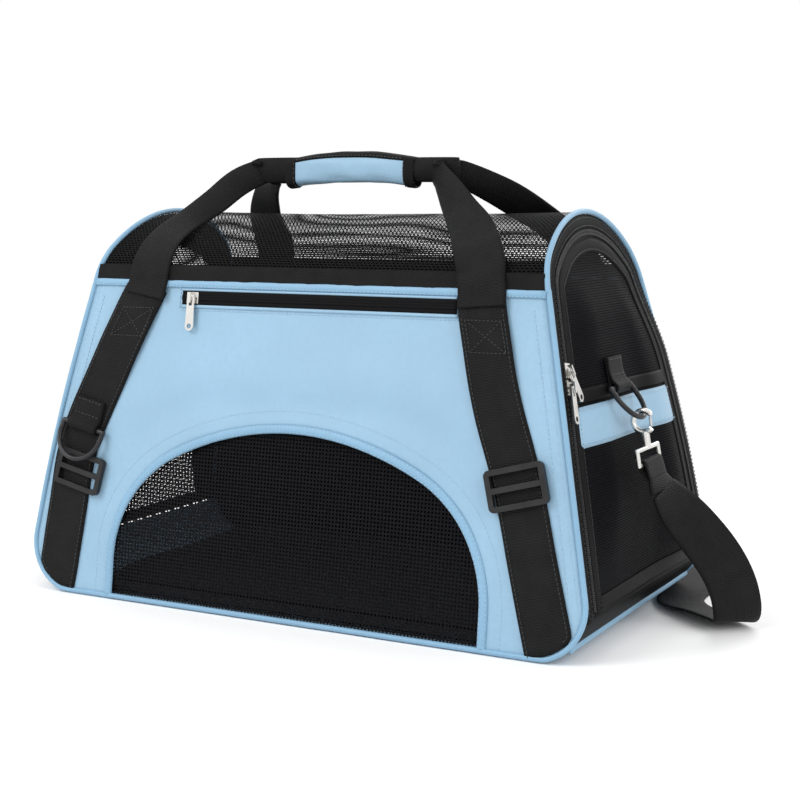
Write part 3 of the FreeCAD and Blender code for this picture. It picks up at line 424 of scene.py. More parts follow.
class Nodes:
    """A material's node tree, written a node at a time."""

    def __init__(self, name):
        self.material = bpy.data.materials.new(name)
        self.material.use_nodes = True
        self.tree = self.material.node_tree
        self.shader = self.tree.nodes["Principled BSDF"]
        self.output = self.tree.nodes["Material Output"]

    def add(self, kind, **settings):
        node = self.tree.nodes.new(kind)
        for key, value in settings.items():
            if key in node.inputs:
                self.put(value, node.inputs[key])
            else:
                setattr(node, key, value)
        return node

    def put(self, value, socket):
        if hasattr(value, "is_output"):
            self.tree.links.new(value, socket)
        else:
            socket.default_value = value

    def math(self, operation, a, b=0.0):
        node = self.tree.nodes.new("ShaderNodeMath")
        node.operation = operation
        self.put(a, node.inputs[0])
        self.put(b, node.inputs[1])
        return node.outputs[0]

    def coordinates(self, kind):
        return self.add("ShaderNodeTexCoord").outputs[kind]

    def split(self, vector):
        node = self.add("ShaderNodeSeparateXYZ")
        self.put(vector, node.inputs[0])
        return node.outputs

    def noise(self, vector, scale, detail=3.0, stretch=None):
        if stretch:
            mapping = self.add("ShaderNodeMapping")
            self.put(vector, mapping.inputs["Vector"])
            mapping.inputs["Scale"].default_value = stretch
            vector = mapping.outputs[0]
        node = self.add("ShaderNodeTexNoise", Scale=scale, Detail=detail)
        self.put(vector, node.inputs["Vector"])
        return node.outputs["Fac"]

    def blend(self, factor, a, b):
        node = self.tree.nodes.new("ShaderNodeMix")
        node.data_type = "RGBA"
        self.put(factor, node.inputs[0])
        self.put((*a, 1.0) if isinstance(a, tuple) and len(a) == 3 else a, node.inputs[6])
        self.put((*b, 1.0) if isinstance(b, tuple) and len(b) == 3 else b, node.inputs[7])
        return node.outputs[2]

    def range(self, value, low, high, new_low, new_high):
        node = self.tree.nodes.new("ShaderNodeMapRange")
        for socket, number in zip(node.inputs[:5], (value, low, high, new_low, new_high)):
            self.put(number, socket)
        return node.outputs[0]

    def bump(self, height, distance, strength=1.0, below=None):
        node = self.tree.nodes.new("ShaderNodeBump")
        node.inputs["Strength"].default_value = strength
        node.inputs["Distance"].default_value = distance
        self.put(height, node.inputs["Height"])
        if below is not None:
            self.put(below, node.inputs["Normal"])
        return node.outputs[0]

    def finish(self, **values):
        for key, value in values.items():
            self.put(value, self.shader.inputs[key.replace("_", " ")])
        return self.material


def shade(colour, share):
    return tuple(c * share for c in colour)


def weave_height(nodes, pitch):
    """A plain weave's height from the piece's own UV."""
    u, v, _ = nodes.split(nodes.coordinates("UV"))
    turns = 2 * math.pi / pitch
    across = nodes.math("SINE", nodes.math("MULTIPLY", u, turns))
    along = nodes.math("SINE", nodes.math("MULTIPLY", v, turns))
    return nodes.math("MULTIPLY", across, along)


def coated_fabric(name, colour, roughness=0.5, wrinkle=0.5, sheen=0.1, gloss=0.4):
    """Satin-coated woven polyester: a fine weave, soft wrinkles and slight shifts of colour."""
    nodes = Nodes(name)
    place = nodes.coordinates("Object")
    soft = nodes.noise(place, 9.0, 4.0)
    fine = nodes.noise(place, 260.0, 2.0)
    tone = nodes.blend(nodes.range(soft, 0.3, 0.7, 0.0, 1.0), shade(colour, 0.93), shade(colour, 1.04))
    tone = nodes.blend(nodes.range(fine, 0.35, 0.65, 0.0, 0.25), tone, (*shade(colour, 0.86), 1.0))
    folds = nodes.noise(place, 22.0, 2.0, (1.0, 1.0, 0.45))
    low = nodes.bump(folds, 0.0022, wrinkle * 0.5)
    top = nodes.bump(weave_height(nodes, 0.0009), 0.00006, 0.5, low)
    rough = nodes.range(soft, 0.2, 0.8, roughness - 0.06, roughness + 0.08)
    nodes.finish(Specular_IOR_Level=gloss, Sheen_Weight=sheen, Sheen_Roughness=0.4)
    return nodes.finish(Base_Color=tone, Roughness=rough, Normal=top)


def webbing(name, colour, pitch=0.0021):
    """Ribbed webbing: a herringbone of ribs across its width, and a rounded selvage."""
    nodes = Nodes(name)
    u, v, _ = nodes.split(nodes.coordinates("UV"))
    zigzag = nodes.math("PINGPONG", nodes.math("DIVIDE", u, 0.0031), 1.0)
    rows = nodes.math("MULTIPLY", v, 2 * math.pi / pitch)
    ribs = nodes.math("SINE", nodes.math("ADD", rows, nodes.math("MULTIPLY", zigzag, 4.4)))
    threads = nodes.math("SINE", nodes.math("MULTIPLY", u, 2 * math.pi / 0.0011))
    height = nodes.math("ADD", nodes.math("MULTIPLY", ribs, 0.7), nodes.math("MULTIPLY", threads, 0.3))
    edge = nodes.range(nodes.math("ABSOLUTE", u), 0.0165, 0.019, 0.0, 1.0)
    fuzz = nodes.noise(nodes.coordinates("Object"), 60.0, 4.0)
    tone = nodes.blend(nodes.range(height, -1.0, 1.0, 0.0, 1.0), shade(colour, 0.55), shade(colour, 1.5))
    tone = nodes.blend(nodes.range(fuzz, 0.4, 0.75, 0.0, 0.4), tone, (*shade(colour, 2.0), 1.0))
    tone = nodes.blend(nodes.math("MULTIPLY", edge, 0.5), tone, (*shade(colour, 0.6), 1.0))
    normal = nodes.bump(height, 0.00022, 0.9)
    nodes.finish(Specular_IOR_Level=0.10, Sheen_Weight=0.01, Sheen_Roughness=0.5)
    return nodes.finish(Base_Color=tone, Roughness=0.58, Normal=normal)


def net(name, colour, wide, tall, thread, offset=0.5, rough=0.6):
    """Knitted netting: threads round holes that let light through."""
    nodes = Nodes(name)
    brick = nodes.add("ShaderNodeTexBrick", offset=offset, offset_frequency=2)
    nodes.put(nodes.coordinates("UV"), brick.inputs["Vector"])
    brick.inputs["Scale"].default_value = 1.0
    brick.inputs["Brick Width"].default_value = wide
    brick.inputs["Row Height"].default_value = tall
    brick.inputs["Mortar Size"].default_value = thread
    brick.inputs["Mortar Smooth"].default_value = 0.25
    cover = brick.outputs["Fac"]
    twist = nodes.noise(nodes.coordinates("Object"), 900.0, 1.0)
    tone = nodes.blend(nodes.range(twist, 0.3, 0.7, 0.0, 1.0), shade(colour, 0.6), shade(colour, 1.6))
    normal = nodes.bump(cover, 0.0003, 0.6)
    nodes.finish(Base_Color=tone, Roughness=rough, Normal=normal, Specular_IOR_Level=0.04)
    clear = nodes.add("ShaderNodeBsdfTransparent")
    mix = nodes.add("ShaderNodeMixShader")
    nodes.put(nodes.math("GREATER_THAN", cover, 0.45), mix.inputs[0])
    nodes.put(clear.outputs[0], mix.inputs[1])
    nodes.put(nodes.shader.outputs[0], mix.inputs[2])
    nodes.put(mix.outputs[0], nodes.output.inputs["Surface"])
    return nodes.material


def moulded(name, colour, roughness=0.42):
    """Moulded plastic with a fine eroded texture and faint handling marks."""
    nodes = Nodes(name)
    place = nodes.coordinates("Object")
    grain = nodes.noise(place, 1400.0, 2.0)
    marks = nodes.noise(place, 70.0, 5.0)
    tone = nodes.blend(nodes.range(marks, 0.35, 0.7, 0.0, 1.0), shade(colour, 0.85), shade(colour, 1.35))
    rough = nodes.range(marks, 0.3, 0.7, roughness - 0.08, roughness + 0.1)
    normal = nodes.bump(grain, 0.00005, 0.5)
    return nodes.finish(Base_Color=tone, Roughness=rough, Normal=normal, Specular_IOR_Level=0.3)


def plated(name, colour, roughness=0.24):
    """Plated metal with soft casting waves, fine scratches and duller patches."""
    nodes = Nodes(name)
    place = nodes.coordinates("Object")
    scratches = nodes.noise(place, 500.0, 3.0, (1.0, 1.0, 6.0))
    patches = nodes.noise(place, 90.0, 4.0)
    tone = nodes.blend(nodes.range(patches, 0.35, 0.7, 0.0, 1.0), colour, shade(colour, 0.82))
    rough = nodes.range(patches, 0.3, 0.7, roughness - 0.06, roughness + 0.12)
    normal = nodes.bump(scratches, 0.00004, 0.5)
    return nodes.finish(Base_Color=tone, Roughness=rough, Normal=normal, Metallic=1.0)


def thread(name, colour):
    """Twisted sewing thread."""
    nodes = Nodes(name)
    twist = nodes.noise(nodes.coordinates("Object"), 1500.0, 1.0)
    tone = nodes.blend(nodes.range(twist, 0.3, 0.7, 0.0, 1.0), shade(colour, 0.8), shade(colour, 1.1))
    return nodes.finish(Base_Color=tone, Roughness=0.55, Sheen_Weight=0.2)


def fleece(name, colour):
    """Brushed fleece: a soft uneven pile."""
    nodes = Nodes(name)
    place = nodes.coordinates("Object")
    pile = nodes.noise(place, 420.0, 5.0)
    patch = nodes.noise(place, 26.0, 3.0)
    tone = nodes.blend(nodes.range(pile, 0.3, 0.7, 0.0, 1.0), shade(colour, 0.6), shade(colour, 1.4))
    tone = nodes.blend(nodes.range(patch, 0.4, 0.7, 0.0, 0.35), tone, (*shade(colour, 1.7), 1.0))
    normal = nodes.bump(pile, 0.0006, 0.8)
    return nodes.finish(Base_Color=tone, Roughness=0.9, Normal=normal, Specular_IOR_Level=0.1)


BLUE = (0.262, 0.425, 0.565)
BLACK = (0.0075, 0.0075, 0.008)
SHELL_FABRIC = coated_fabric("shell_blue_fabric", BLUE, 0.46)
TRIM_FABRIC = coated_fabric("trim_blue_tape", (0.205, 0.375, 0.53), 0.42, 0.2)
# The base's blue is darker than the shell's blue as painted shade: the shade that falls on the base low under
# the bag.
SHADED_BASE_FABRIC = coated_fabric("base_blue_fabric_painted_shade", (0.20, 0.32, 0.43), 0.5, 0.6)
LINING = coated_fabric("dark_lining", (0.006, 0.0068, 0.0105), 0.6, 0.6, 0.0, 0.05)
BLACK_FABRIC = coated_fabric("black_fabric", (0.0045, 0.0045, 0.005), 0.5, 0.5, 0.0, 0.06)
ZIP_TAPE = coated_fabric("zip_tape_weave", (0.0048, 0.0048, 0.0055), 0.6, 0.2, 0.0, 0.07)
WEBBING = webbing("black_webbing", BLACK)
FINE_WEBBING = webbing("fine_webbing", BLACK, 0.0013)
ROOF_NET = net("roof_net", (0.007, 0.007, 0.0075), 0.0036, 0.0023, 0.00066)
DOOR_NET = net("door_net", (0.0042, 0.0042, 0.0052), 0.0022, 0.0020, 0.00062, 0.0)
WINDOW_NET = net("window_net", (0.006, 0.006, 0.007), 0.0030, 0.0030, 0.00082, 0.0)
PLASTIC = moulded("black_moulding", (0.013, 0.013, 0.014))
RING_PLASTIC = moulded("ring_moulding", (0.016, 0.016, 0.018), 0.3)
BOARD = moulded("board_moulding", (0.03, 0.03, 0.032), 0.6)
COIL = moulded("coil_moulding", (0.010, 0.010, 0.011), 0.38)
NICKEL = plated("satin_nickel", (0.78, 0.765, 0.735))
STEEL = plated("spring_steel", (0.62, 0.61, 0.60), 0.34)
BLUE_THREAD = thread("blue_thread", (0.33, 0.50, 0.64))
BLACK_THREAD = thread("black_thread", (0.012, 0.012, 0.013))
MAT_FLEECE = fleece("charcoal_fleece", (0.02, 0.021, 0.025))


def settle(piece, body, slot, *nodes, turn=None):
    """Puts a piece on its body and hides the CAD nodes that it stands for. Its slot, the name of its finish,
    is not used.
    """
    if turn is not None:
        piece.data.transform(turn)
    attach(piece, body)
    if nodes:
        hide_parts(*nodes)
    return piece


def sew(name, path, normal_of, thread_material, body, slot, turn=None, **look):
    """A row of stitches, settled on its body."""
    settle(dashes(name, path, normal_of, thread_material, **look), body, slot, turn=turn)


# ---------------------------------------------------------------- camera, lights and floor

CAMERA_AT = Vector((0.623, -1.108, 0.321))
CAMERA_TURN, CAMERA_DIP = math.radians(28.1), math.radians(7.25)
FLOOR = 9


def studio():
    """A pale floor, a bright surround and soft lights, seen from the right and slightly above."""
    data = bpy.data.cameras.new("camera")
    data.lens, data.sensor_width = 68.9, 36.0
    camera = bpy.data.objects.new("camera", data)
    forward = Vector(
        (
            -math.sin(CAMERA_TURN) * math.cos(CAMERA_DIP),
            math.cos(CAMERA_TURN) * math.cos(CAMERA_DIP),
            -math.sin(CAMERA_DIP),
        )
    )
    camera.location = CAMERA_AT
    camera.rotation_euler = forward.to_track_quat("-Z", "Y").to_euler()
    scene = bpy.context.scene
    scene.collection.objects.link(camera)
    scene.camera = camera
    scene.view_settings.view_transform = "Standard"

    world = bpy.data.worlds.new("surround")
    world.use_nodes = True
    background = world.node_tree.nodes["Background"]
    background.inputs["Color"].default_value = (1.0, 1.0, 1.0, 1.0)
    background.inputs["Strength"].default_value = 1.0
    scene.world = world

    for name, spot, aim, size, power in (
        ("key", (-0.9, -1.5, 1.5), (0, 0, 0.15), 1.1, 22),
        ("side", (1.8, -0.5, 1.0), (0.1, 0, 0.15), 0.9, 9),
        ("rear", (0.3, 1.7, 1.3), (0, 0, 0.2), 1.4, 12),
    ):
        lamp = bpy.data.lights.new(name, "AREA")
        lamp.size, lamp.energy = size, power
        light = bpy.data.objects.new(name, lamp)
        light.location = spot
        light.rotation_euler = (Vector(aim) - Vector(spot)).to_track_quat("-Z", "Y").to_euler()
        scene.collection.objects.link(light)

    nodes = Nodes("pale_floor")
    soft = nodes.noise(nodes.coordinates("Object"), 3.0, 2.0)
    tone = nodes.blend(soft, (0.93, 0.93, 0.93), (0.95, 0.95, 0.95))
    nodes.finish(Base_Color=tone, Roughness=0.85, Specular_IOR_Level=0.2)
    x, y, _ = nodes.split(nodes.coordinates("Object"))
    squares = nodes.math("ADD", nodes.math("MULTIPLY", x, x), nodes.math("MULTIPLY", y, y))
    away = nodes.math("POWER", squares, 0.5)
    glow = nodes.add("ShaderNodeEmission")
    mix = nodes.add("ShaderNodeMixShader")
    nodes.put(nodes.range(away, 0.42, 0.95, 0.0, 1.0), mix.inputs[0])
    nodes.put(nodes.shader.outputs[0], mix.inputs[1])
    nodes.put(glow.outputs[0], mix.inputs[2])
    nodes.put(mix.outputs[0], nodes.output.inputs["Surface"])
    corners = [(-FLOOR, -FLOOR, 0), (FLOOR, -FLOOR, 0), (FLOOR, FLOOR, 0), (-FLOOR, FLOOR, 0)]
    floor = mesh_piece("floor", corners, [(0, 1, 2, 3)], None, nodes.material)
    floor.location.z = -0.0006


studio()

# ---------------------------------------------------------------- shoulder strap

STRAP_LOW = 0.0011
EYE_ALONG, FOLD_RADIUS = 0.2541, 0.0031
ADJUSTER_SPOT = (-0.058, 0.2008, STRAP_LOW)

# The strap's middle line and the direction of its width, from each hook's eye to the slide.
RIGHT_STRAP = [
    ((0.2655, -0.0188, 0.110), (0.15, 0.97, 0.15)),
    ((0.2735, -0.0165, 0.099), (0.33, 0.85, 0.42)),
    ((0.2870, -0.0120, 0.083), (0.50, 0.62, 0.62)),
    ((0.3040, -0.0070, 0.062), (0.56, 0.56, 0.62)),
    ((0.3150, -0.0020, 0.040), (0.70, 0.56, 0.42)),
    ((0.3180, 0.0040, 0.019), (0.80, 0.60, 0.1)),
    ((0.3150, 0.0110, 0.007), (0.66, 0.74, -0.12)),
    ((0.3020, 0.0230, 0.0052), (0.56, 0.81, -0.17)),
    ((0.2820, 0.0370, 0.0050), (0.54, 0.82, -0.17)),
    ((0.2620, 0.0520, 0.0034), (0.62, 0.78, -0.09)),
    ((0.2490, 0.0760, STRAP_LOW), (0.9, 0.43, 0)),
    ((0.246, 0.103, STRAP_LOW), (1, 0.05, 0)),
    ((0.249, 0.128, STRAP_LOW), (1, -0.02, 0)),
    ((0.247, 0.152, STRAP_LOW), (0.97, 0.25, 0)),
    ((0.236, 0.174, STRAP_LOW), (0.8, 0.6, 0)),
    ((0.215, 0.189, STRAP_LOW), (0.45, 0.9, 0)),
    ((0.184, 0.197, STRAP_LOW), (0.2, 0.98, 0)),
    ((0.140, 0.199, STRAP_LOW), (0, 1, 0)),
    ((0.086, 0.195, STRAP_LOW), (-0.05, 1, 0)),
    ((0.030, 0.196, STRAP_LOW), (0.03, 1, 0)),
    ((-0.030, 0.200, STRAP_LOW), (0.05, 1, 0)),
    (ADJUSTER_SPOT, (0, 1, 0)),
]
LEFT_STRAP = [
    ((-0.2655, 0.0205, 0.109), (0.03, -1, 0)),
    ((-0.274, 0.025, 0.097), (0.05, -0.99, 0)),
    ((-0.287, 0.032, 0.074), (0.2, -0.95, 0.15)),
    ((-0.298, 0.040, 0.048), (0.35, -0.9, 0.2)),
    ((-0.301, 0.048, 0.024), (0.6, -0.75, 0.2)),
    ((-0.296, 0.058, 0.008), (0.75, -0.65, 0)),
    ((-0.284, 0.074, STRAP_LOW + 0.001), (0.8, -0.6, 0)),
    ((-0.270, 0.094, STRAP_LOW), (0.85, -0.5, 0)),
    ((-0.258, 0.116, STRAP_LOW), (0.93, -0.36, 0)),
    ((-0.249, 0.140, STRAP_LOW), (0.95, -0.3, 0)),
    ((-0.236, 0.163, STRAP_LOW), (0.8, -0.6, 0)),
    ((-0.215, 0.181, STRAP_LOW), (0.5, -0.85, 0)),
    ((-0.184, 0.192, STRAP_LOW), (0.2, -0.98, 0)),
    ((-0.140, 0.198, STRAP_LOW), (0.08, -1, 0)),
    ((-0.086, 0.201, STRAP_LOW), (0, -1, 0)),
    (ADJUSTER_SPOT, (0, -1, 0)),
]


def nurbs_line(points):
    """Points along a smooth open NURBS line that those points control."""
    data = bpy.data.curves.new("line", "CURVE")
    data.dimensions = "3D"
    data.resolution_u = 10
    spline = data.splines.new("NURBS")
    spline.points.add(len(points) - 1)
    for point, place in zip(spline.points, points):
        point.co = (*place, 1.0)
    spline.order_u = 3
    spline.use_endpoint_u = True
    holder = bpy.data.objects.new("line", data)
    mesh = bpy.data.meshes.new_from_object(holder)
    line = [v.co.copy() for v in mesh.vertices]
    bpy.data.objects.remove(holder)
    return line


def line_length(points):
    return sum((b - a).length for a, b in zip(points, points[1:]))


def shoulder_strap():
    """The limp strap in two lengths that meet in the slide behind the carrier."""
    for end, route in (("right", RIGHT_STRAP), ("left", LEFT_STRAP)):
        centres = nurbs_line([p for p, _ in route])
        sides = nurbs_line([s for _, s in route])
        widths = [WEBBING_WIDTH] * len(centres)
        strap = ribbon(f"shoulder_strap_{end}", centres, sides, widths, WEBBING_THICKNESS, WEBBING, 10)
        head = Vector(route[0][0])
        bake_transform(strap)
        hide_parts("shoulder_strap")
        exit_point = tuple(route[0][0])
        tails = strap_tails(end, route)
        line_length(centres)


def strap_tails(end, route):
    """The strap's sewn end: a fold round the hook's eye, and the stretch below it."""
    head = Vector(route[0][0])
    low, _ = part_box(f"{end}_snap_hook")
    eye = Vector((math.copysign(EYE_ALONG, head.x), head.y, low[2] + 0.0018))
    side = Vector(route[0][1]).normalized()
    flat = Vector((0, side.y, 0)).normalized()
    middle = eye.lerp(head, 0.55)
    ahead = (head - eye).normalized()
    normal = flat.cross(ahead).normalized()
    loop = []
    for i in range(13):
        angle = math.pi * (0.5 + i / 12)
        loop.append(eye + normal * (FOLD_RADIUS * math.sin(angle)) + ahead * (FOLD_RADIUS * math.cos(angle)))
    tail = [middle + normal * 0.0012, middle.lerp(eye, 0.5) + normal * 0.0022]
    back = [middle.lerp(eye, 0.5) - normal * 0.0018, middle - normal * 0.0004]
    centres = catmull(tail + loop[::2] + back, 4)
    widths = [WEBBING_WIDTH] * len(centres)
    fold = ribbon(f"strap_fold_{end}", centres, [flat] * len(centres), widths, FOLD_THICKNESS, WEBBING)
    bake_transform(fold)
    centres = catmull([middle - normal * 0.0004, middle.lerp(head, 0.5), head], 8)
    sides = [flat.lerp(side, i / (len(centres) - 1)) for i in range(len(centres))]
    widths = [WEBBING_WIDTH] * len(centres)
    lower = ribbon(f"strap_neck_{end}", centres, sides, widths, WEBBING_THICKNESS, WEBBING)
    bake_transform(lower)
    return [fold, lower]


shoulder_strap()

# ---------------------------------------------------------------- long panels


# Where slides and a ring lie on a long panel, so that the fabric stays flat under them.
HARDWARE_SPOTS = ((-0.205, 0.102), (-0.203, 0.140), (0.190, 0.122))


def panel_out(along, up):
    """How far a long panel stands out of its plane: a full middle, soft waves, and flat edges."""
    edge = min(up / 0.03, (0.238 - up) / 0.05, (half_length(up) - abs(along)) / 0.045, 1.0)
    share = smooth_step(0.0, 1.0, max(edge, 0.0))
    for spot in HARDWARE_SPOTS:
        share *= smooth_step(0.022, 0.060, math.hypot(along - spot[0], up - spot[1]))
    full = 0.0028 * math.cos(along * 5.0) * math.sin(math.pi * min(max(up / SEAM_UP, 0), 1))
    waves = noise.noise(Vector((along * 9, up * 7, 3.7))) * 0.0022
    creases = noise.noise(Vector((along * 26 + up * 12, up * 5, 9.1))) * 0.0006
    arch = math.hypot(max(abs(along) - 0.065, 0), max(up - 0.046, 0))
    pull = 0.0014 * math.exp(-(((arch - 0.122) / 0.012) ** 2))
    return (full + waves + creases) * share - pull * share


def side_place(along, up, lift=0.0):
    return warped(on_side(along, up, panel_out(along, up) + lift))


def side_normal(_, point):
    """Out of whichever long panel the point is on, before it is turned to the back."""
    return Vector((0, -SIDE_COS, SIDE_SIN))


def window_line(inset=0.0, foot=0.002):
    return WINDOW_ARCH.line(inset, foot, 22, 30)


def front_panel():
    """The front wall: one sheet round the window, with a dark lining inside."""
    half = panel_half(0.001)
    outer = [p for p in half if p[0] > 0.17 or p[1] > 0.05]
    outer = [(0.1705, 0.0)] + outer
    outer = outer + [(-a, b) for a, b in outer[::-1]]
    inner = [tuple(p) for p in resampled(window_line(0.0, 0.0), 240)]
    outer = [tuple(p) for p in resampled(outer, 240)]
    panel = ring_sheet("front_panel_fabric", inner, outer, 26, side_place, [SHELL_FABRIC, LINING])
    thicken(panel, 0.0026, -1.0, 1)
    settle(panel, "bag", "shell_fabric", "front_panel")


def back_panel():
    """The far wall, a whole sheet."""
    half = panel_half(0.001)
    outline = (half + [(-a, b) for a, b in half[::-1][1:]])[:-1]
    panel = disc_sheet("back_panel_fabric", outline, 34, side_place, [SHELL_FABRIC, LINING])
    thicken(panel, 0.0026, -1.0, 1)
    settle(panel, "bag", "shell_fabric", "back_panel", turn=TURNED)


def front_window():
    """The arched net, its bound edge and the edge's two rows of stitches."""
    arch = window_line(-0.003, 0.001)
    foot = [(-0.173 + 0.346 * i / 40, 0.001) for i in range(1, 40)]
    outline = arch + foot

    def place(along, up):
        sag = 0.0016 * noise.noise(Vector((along * 12, up * 9, 5.5)))
        return warped(on_side(along, up, -0.0022 + sag))

    net_sheet = disc_sheet("front_window_net", outline, 26, place, WINDOW_NET)
    settle(net_sheet, "bag", "black_mesh", "front_window_mesh")
    line = [side_place(*p, 0.0) for p in window_line(0.0005, 0.003)]
    section = tape_section(0.0072, 0.0013, 0.0009)
    tape = swept("front_window_tape", line, section, side_normal, TRIM_FABRIC)
    settle(tape, "bag", "trim_fabric", "front_window_binding")
    for number, shift in enumerate((-0.0024, 0.0024)):
        name = f"window_stitches_{number + 1}"
        sew(name, line, side_normal, BLUE_THREAD, "bag", "trim_fabric", lift=0.0016, shift=shift)
    dart = [side_place(a, b, 0.0) for a, b in window_line(-0.0135, 0.004)]
    sew("window_seam_stitches", dart, side_normal, BLUE_THREAD, "bag", "shell_fabric", lift=0.0001)


def piping_line(inset=-0.0008):
    half = panel_half(inset, 0.0012, 24, 14, 60, 2)[:-2]
    return half[::-1] + [(-a, b) for a, b in half[1:]]


def pipings():
    """The round blue beads down the long panels' ends and along their feet, with their stitches."""
    for side, turn in SIDES.items():
        line = []
        for a, b in piping_line():
            wave = 0.00035 * noise.noise(Vector((a * 40, b * 40, 1.3)))
            line.append(warped(on_side(a, b, wave)))
        line = [p for p in line if p.z >= 0.0]
        line = [Vector((p.x, p.y, max(p.z, PIPE + 0.0002))) for p in line]
        bead = swept(f"{side}_piping_bead", line, round_section(PIPE, 12), side_normal, TRIM_FABRIC)
        settle(bead, "bag", "trim_fabric", f"{side}_piping", turn=turn)
        inner = [side_place(a, b) for a, b in piping_line(0.0055) if b > 0.001]
        name = f"{side}_piping_stitches"
        sew(name, inner, side_normal, BLUE_THREAD, "bag", "shell_fabric", turn, lift=0.0)
        for hand in (-1, 1):
            crease = [
                side_place(hand * (half_length(b * SIDE_COS) - 0.012), b) for b in
                [0.05 + 0.2 * i / 60 for i in range(61)]
            ]
            name = f"{side}_edge_stitches_{'left' if hand < 0 else 'right'}"
            sew(name, crease, side_normal, BLUE_THREAD, "bag", "shell_fabric", turn)


def arch_point(across, up, out=0.0):
    return warped(on_end(across, up, out))


def end_normal(_, point):
    return Vector((END_COS, 0, END_SIN))


def arch_pipings():
    """The bead over each end's arch, from one long seam to the other."""
    foot = (SEAM - 0.002) / END_COS
    for number, (end, turn) in enumerate(ENDS.items()):
        line = [arch_point(a, b, 0.0006) for a, b in END_ARCH.line(-0.0004, foot, 6, 26)]
        bead = swept(f"{end}_arch_bead", line, round_section(PIPE, 12), end_normal, TRIM_FABRIC)
        settle(bead, "bag", "trim_fabric", *(["arch_piping"] if number == 0 else []), turn=turn)


front_panel()
back_panel()
front_window()
pipings()
arch_pipings()

# ---------------------------------------------------------------- roof


def roof_sag(share, along):
    """The net sags between its seams and ripples a little."""
    middle = math.sin(math.pi * share) * math.cos(math.pi * along / 2 * 0.9)
    ripple = noise.noise(Vector((along * 3.1, share * 5.0, 2.2))) * 0.0006
    for start, lean, deep in ((0.17, 0.03, 0.0008), (0.31, -0.05, 0.0006), (0.84, -0.03, 0.0006)):
        away = (share - start - lean * along - 0.012 * noise.noise(Vector((along * 4, start, 0)))) / 0.011
        ripple -= deep * math.exp(-away * away) * (0.5 + 0.5 * math.cos(2.6 * (along - start)))
    return -0.0022 * middle + ripple * math.sin(math.pi * share)


def roof_profile(inset=0.0, straight=8, curved=64):
    return ROOF_ARCH.line(inset, SEAM - 0.004, straight, curved)


def roof_place(profile, i, along, lift=0.0):
    """A point of the roof: i along its arched profile, and along from -1 at the left to 1."""
    across, up = profile[i]
    before, after = profile[max(i - 1, 0)], profile[min(i + 1, len(profile) - 1)]
    ahead = Vector((after[0] - before[0], after[1] - before[1])).normalized()
    out = Vector((ahead.y, -ahead.x))
    step = roof_sag(i / (len(profile) - 1), along) + lift
    return warped(Vector((half_length(up) * along, across + out.x * step, up + out.y * step)))


def roof():
    """The arched net, its doubled hems, and the blue strips at its feet."""
    profile = roof_profile()
    rows, uvs = [], []
    run = [0.0]
    for a, b in zip(profile, profile[1:]):
        run.append(run[-1] + math.dist(a, b))
    for k in range(81):
        along = 2 * k / 80 - 1
        rows.append([roof_place(profile, i, along) for i in range(len(profile))])
        uvs.append([(along * half_length(profile[i][1]), run[i]) for i in range(len(profile))])
    sheet = grid("roof_net_sheet", rows, ROOF_NET, uvs)
    settle(sheet, "bag", "black_mesh", "roof_mesh")
    2 * half_length(SEAM)
    for number, turn in enumerate(SIDES.values()):
        rows = []
        for k in range(81):
            along = 2 * k / 80 - 1
            row = []
            for level in range(7):
                height = SEAM - 0.002 + 0.0135 * level / 6
                wave = 0.0005 * noise.noise(Vector((along * 20, level, 4.4)))
                point = Vector((half_length(height) * along, -half_depth(height) - 0.0006 - wave, height))
                row.append(warped(point))
            rows.append(row)
        hem = grid(f"roof_hem_{number + 1}", rows, FINE_WEBBING)
        thicken(hem, 0.0010, 1.0)
        settle(hem, "bag", "black_webbing", *(["roof_hems"] if number == 0 else []), turn=turn)
        line = [
            warped(Vector((half_length(SEAM) * (2 * k / 80 - 1), -half_depth(SEAM) - 0.0008, SEAM - 0.003)))
            for k in range(81)
        ]
        section = tape_section(0.0066, 0.0012, 0.0008)
        strip = swept(f"seam_strip_{number + 1}", line, section, side_normal, TRIM_FABRIC)
        settle(strip, "bag", "trim_fabric", *(["seam_strips"] if number == 0 else []), turn=turn)
        name = f"seam_strip_stitches_{number + 1}"
        sew(name, line, side_normal, BLUE_THREAD, "bag", "trim_fabric", turn, lift=0.0015, shift=0.0022)


roof()

# ---------------------------------------------------------------- ends

FRAME_INSETS = (0.0018, 0.0125)
TEETH_SPLIT = 0.0160
DOOR_EDGE = 0.0195
DOOR_BORDER = 0.031
WINDOW_FOOT = 0.178 / END_COS


def belly(across, up):
    """How far the door swells out of the end's plane."""
    inset = END_ARCH.side(min(up, END_ARCH.spring)) - abs(across) - 0.022
    wide = smooth_step(0.0, 0.048, inset)
    tall = smooth_step(0.036, 0.112, up) * (1 - smooth_step(0.235, 0.285, up))
    waves = noise.noise(Vector((across * 14, up * 11, 8.8))) * 0.0009
    return BELLY * wide * tall + waves * wide * smooth_step(0.04, 0.09, up)


# Which way across an end the back panel lies, in the right end's own frame, and the rise beside its piping.
BACK_HAND = {"right": 1, "left": -1}
BAND_RISE = 0.0066


def puff(across, up):
    """How proud an end stands beside the piping of the back. The left end's sliders cut into it there."""
    inset = END_ARCH.side(min(up, END_ARCH.spring)) - across
    share = smooth_step(0.02, 0.075, across) * smooth_step(0.0005, 0.0050, inset)
    return BAND_RISE * share * smooth_step(0.028, 0.075, up) * (1 - smooth_step(0.20, 0.27, up))


def placers(end):
    """What puts a point of an end's plane on its fixed band, and on its door."""
    hand = BACK_HAND[end]

    def fixed(across, up, lift=0.0):
        return warped(on_end(across, up, puff(across * hand, up) + lift))

    def door(across, up, lift=0.0):
        return warped(on_end(across, up, belly(across, up) + puff(across * hand, up) + lift))

    return fixed, door


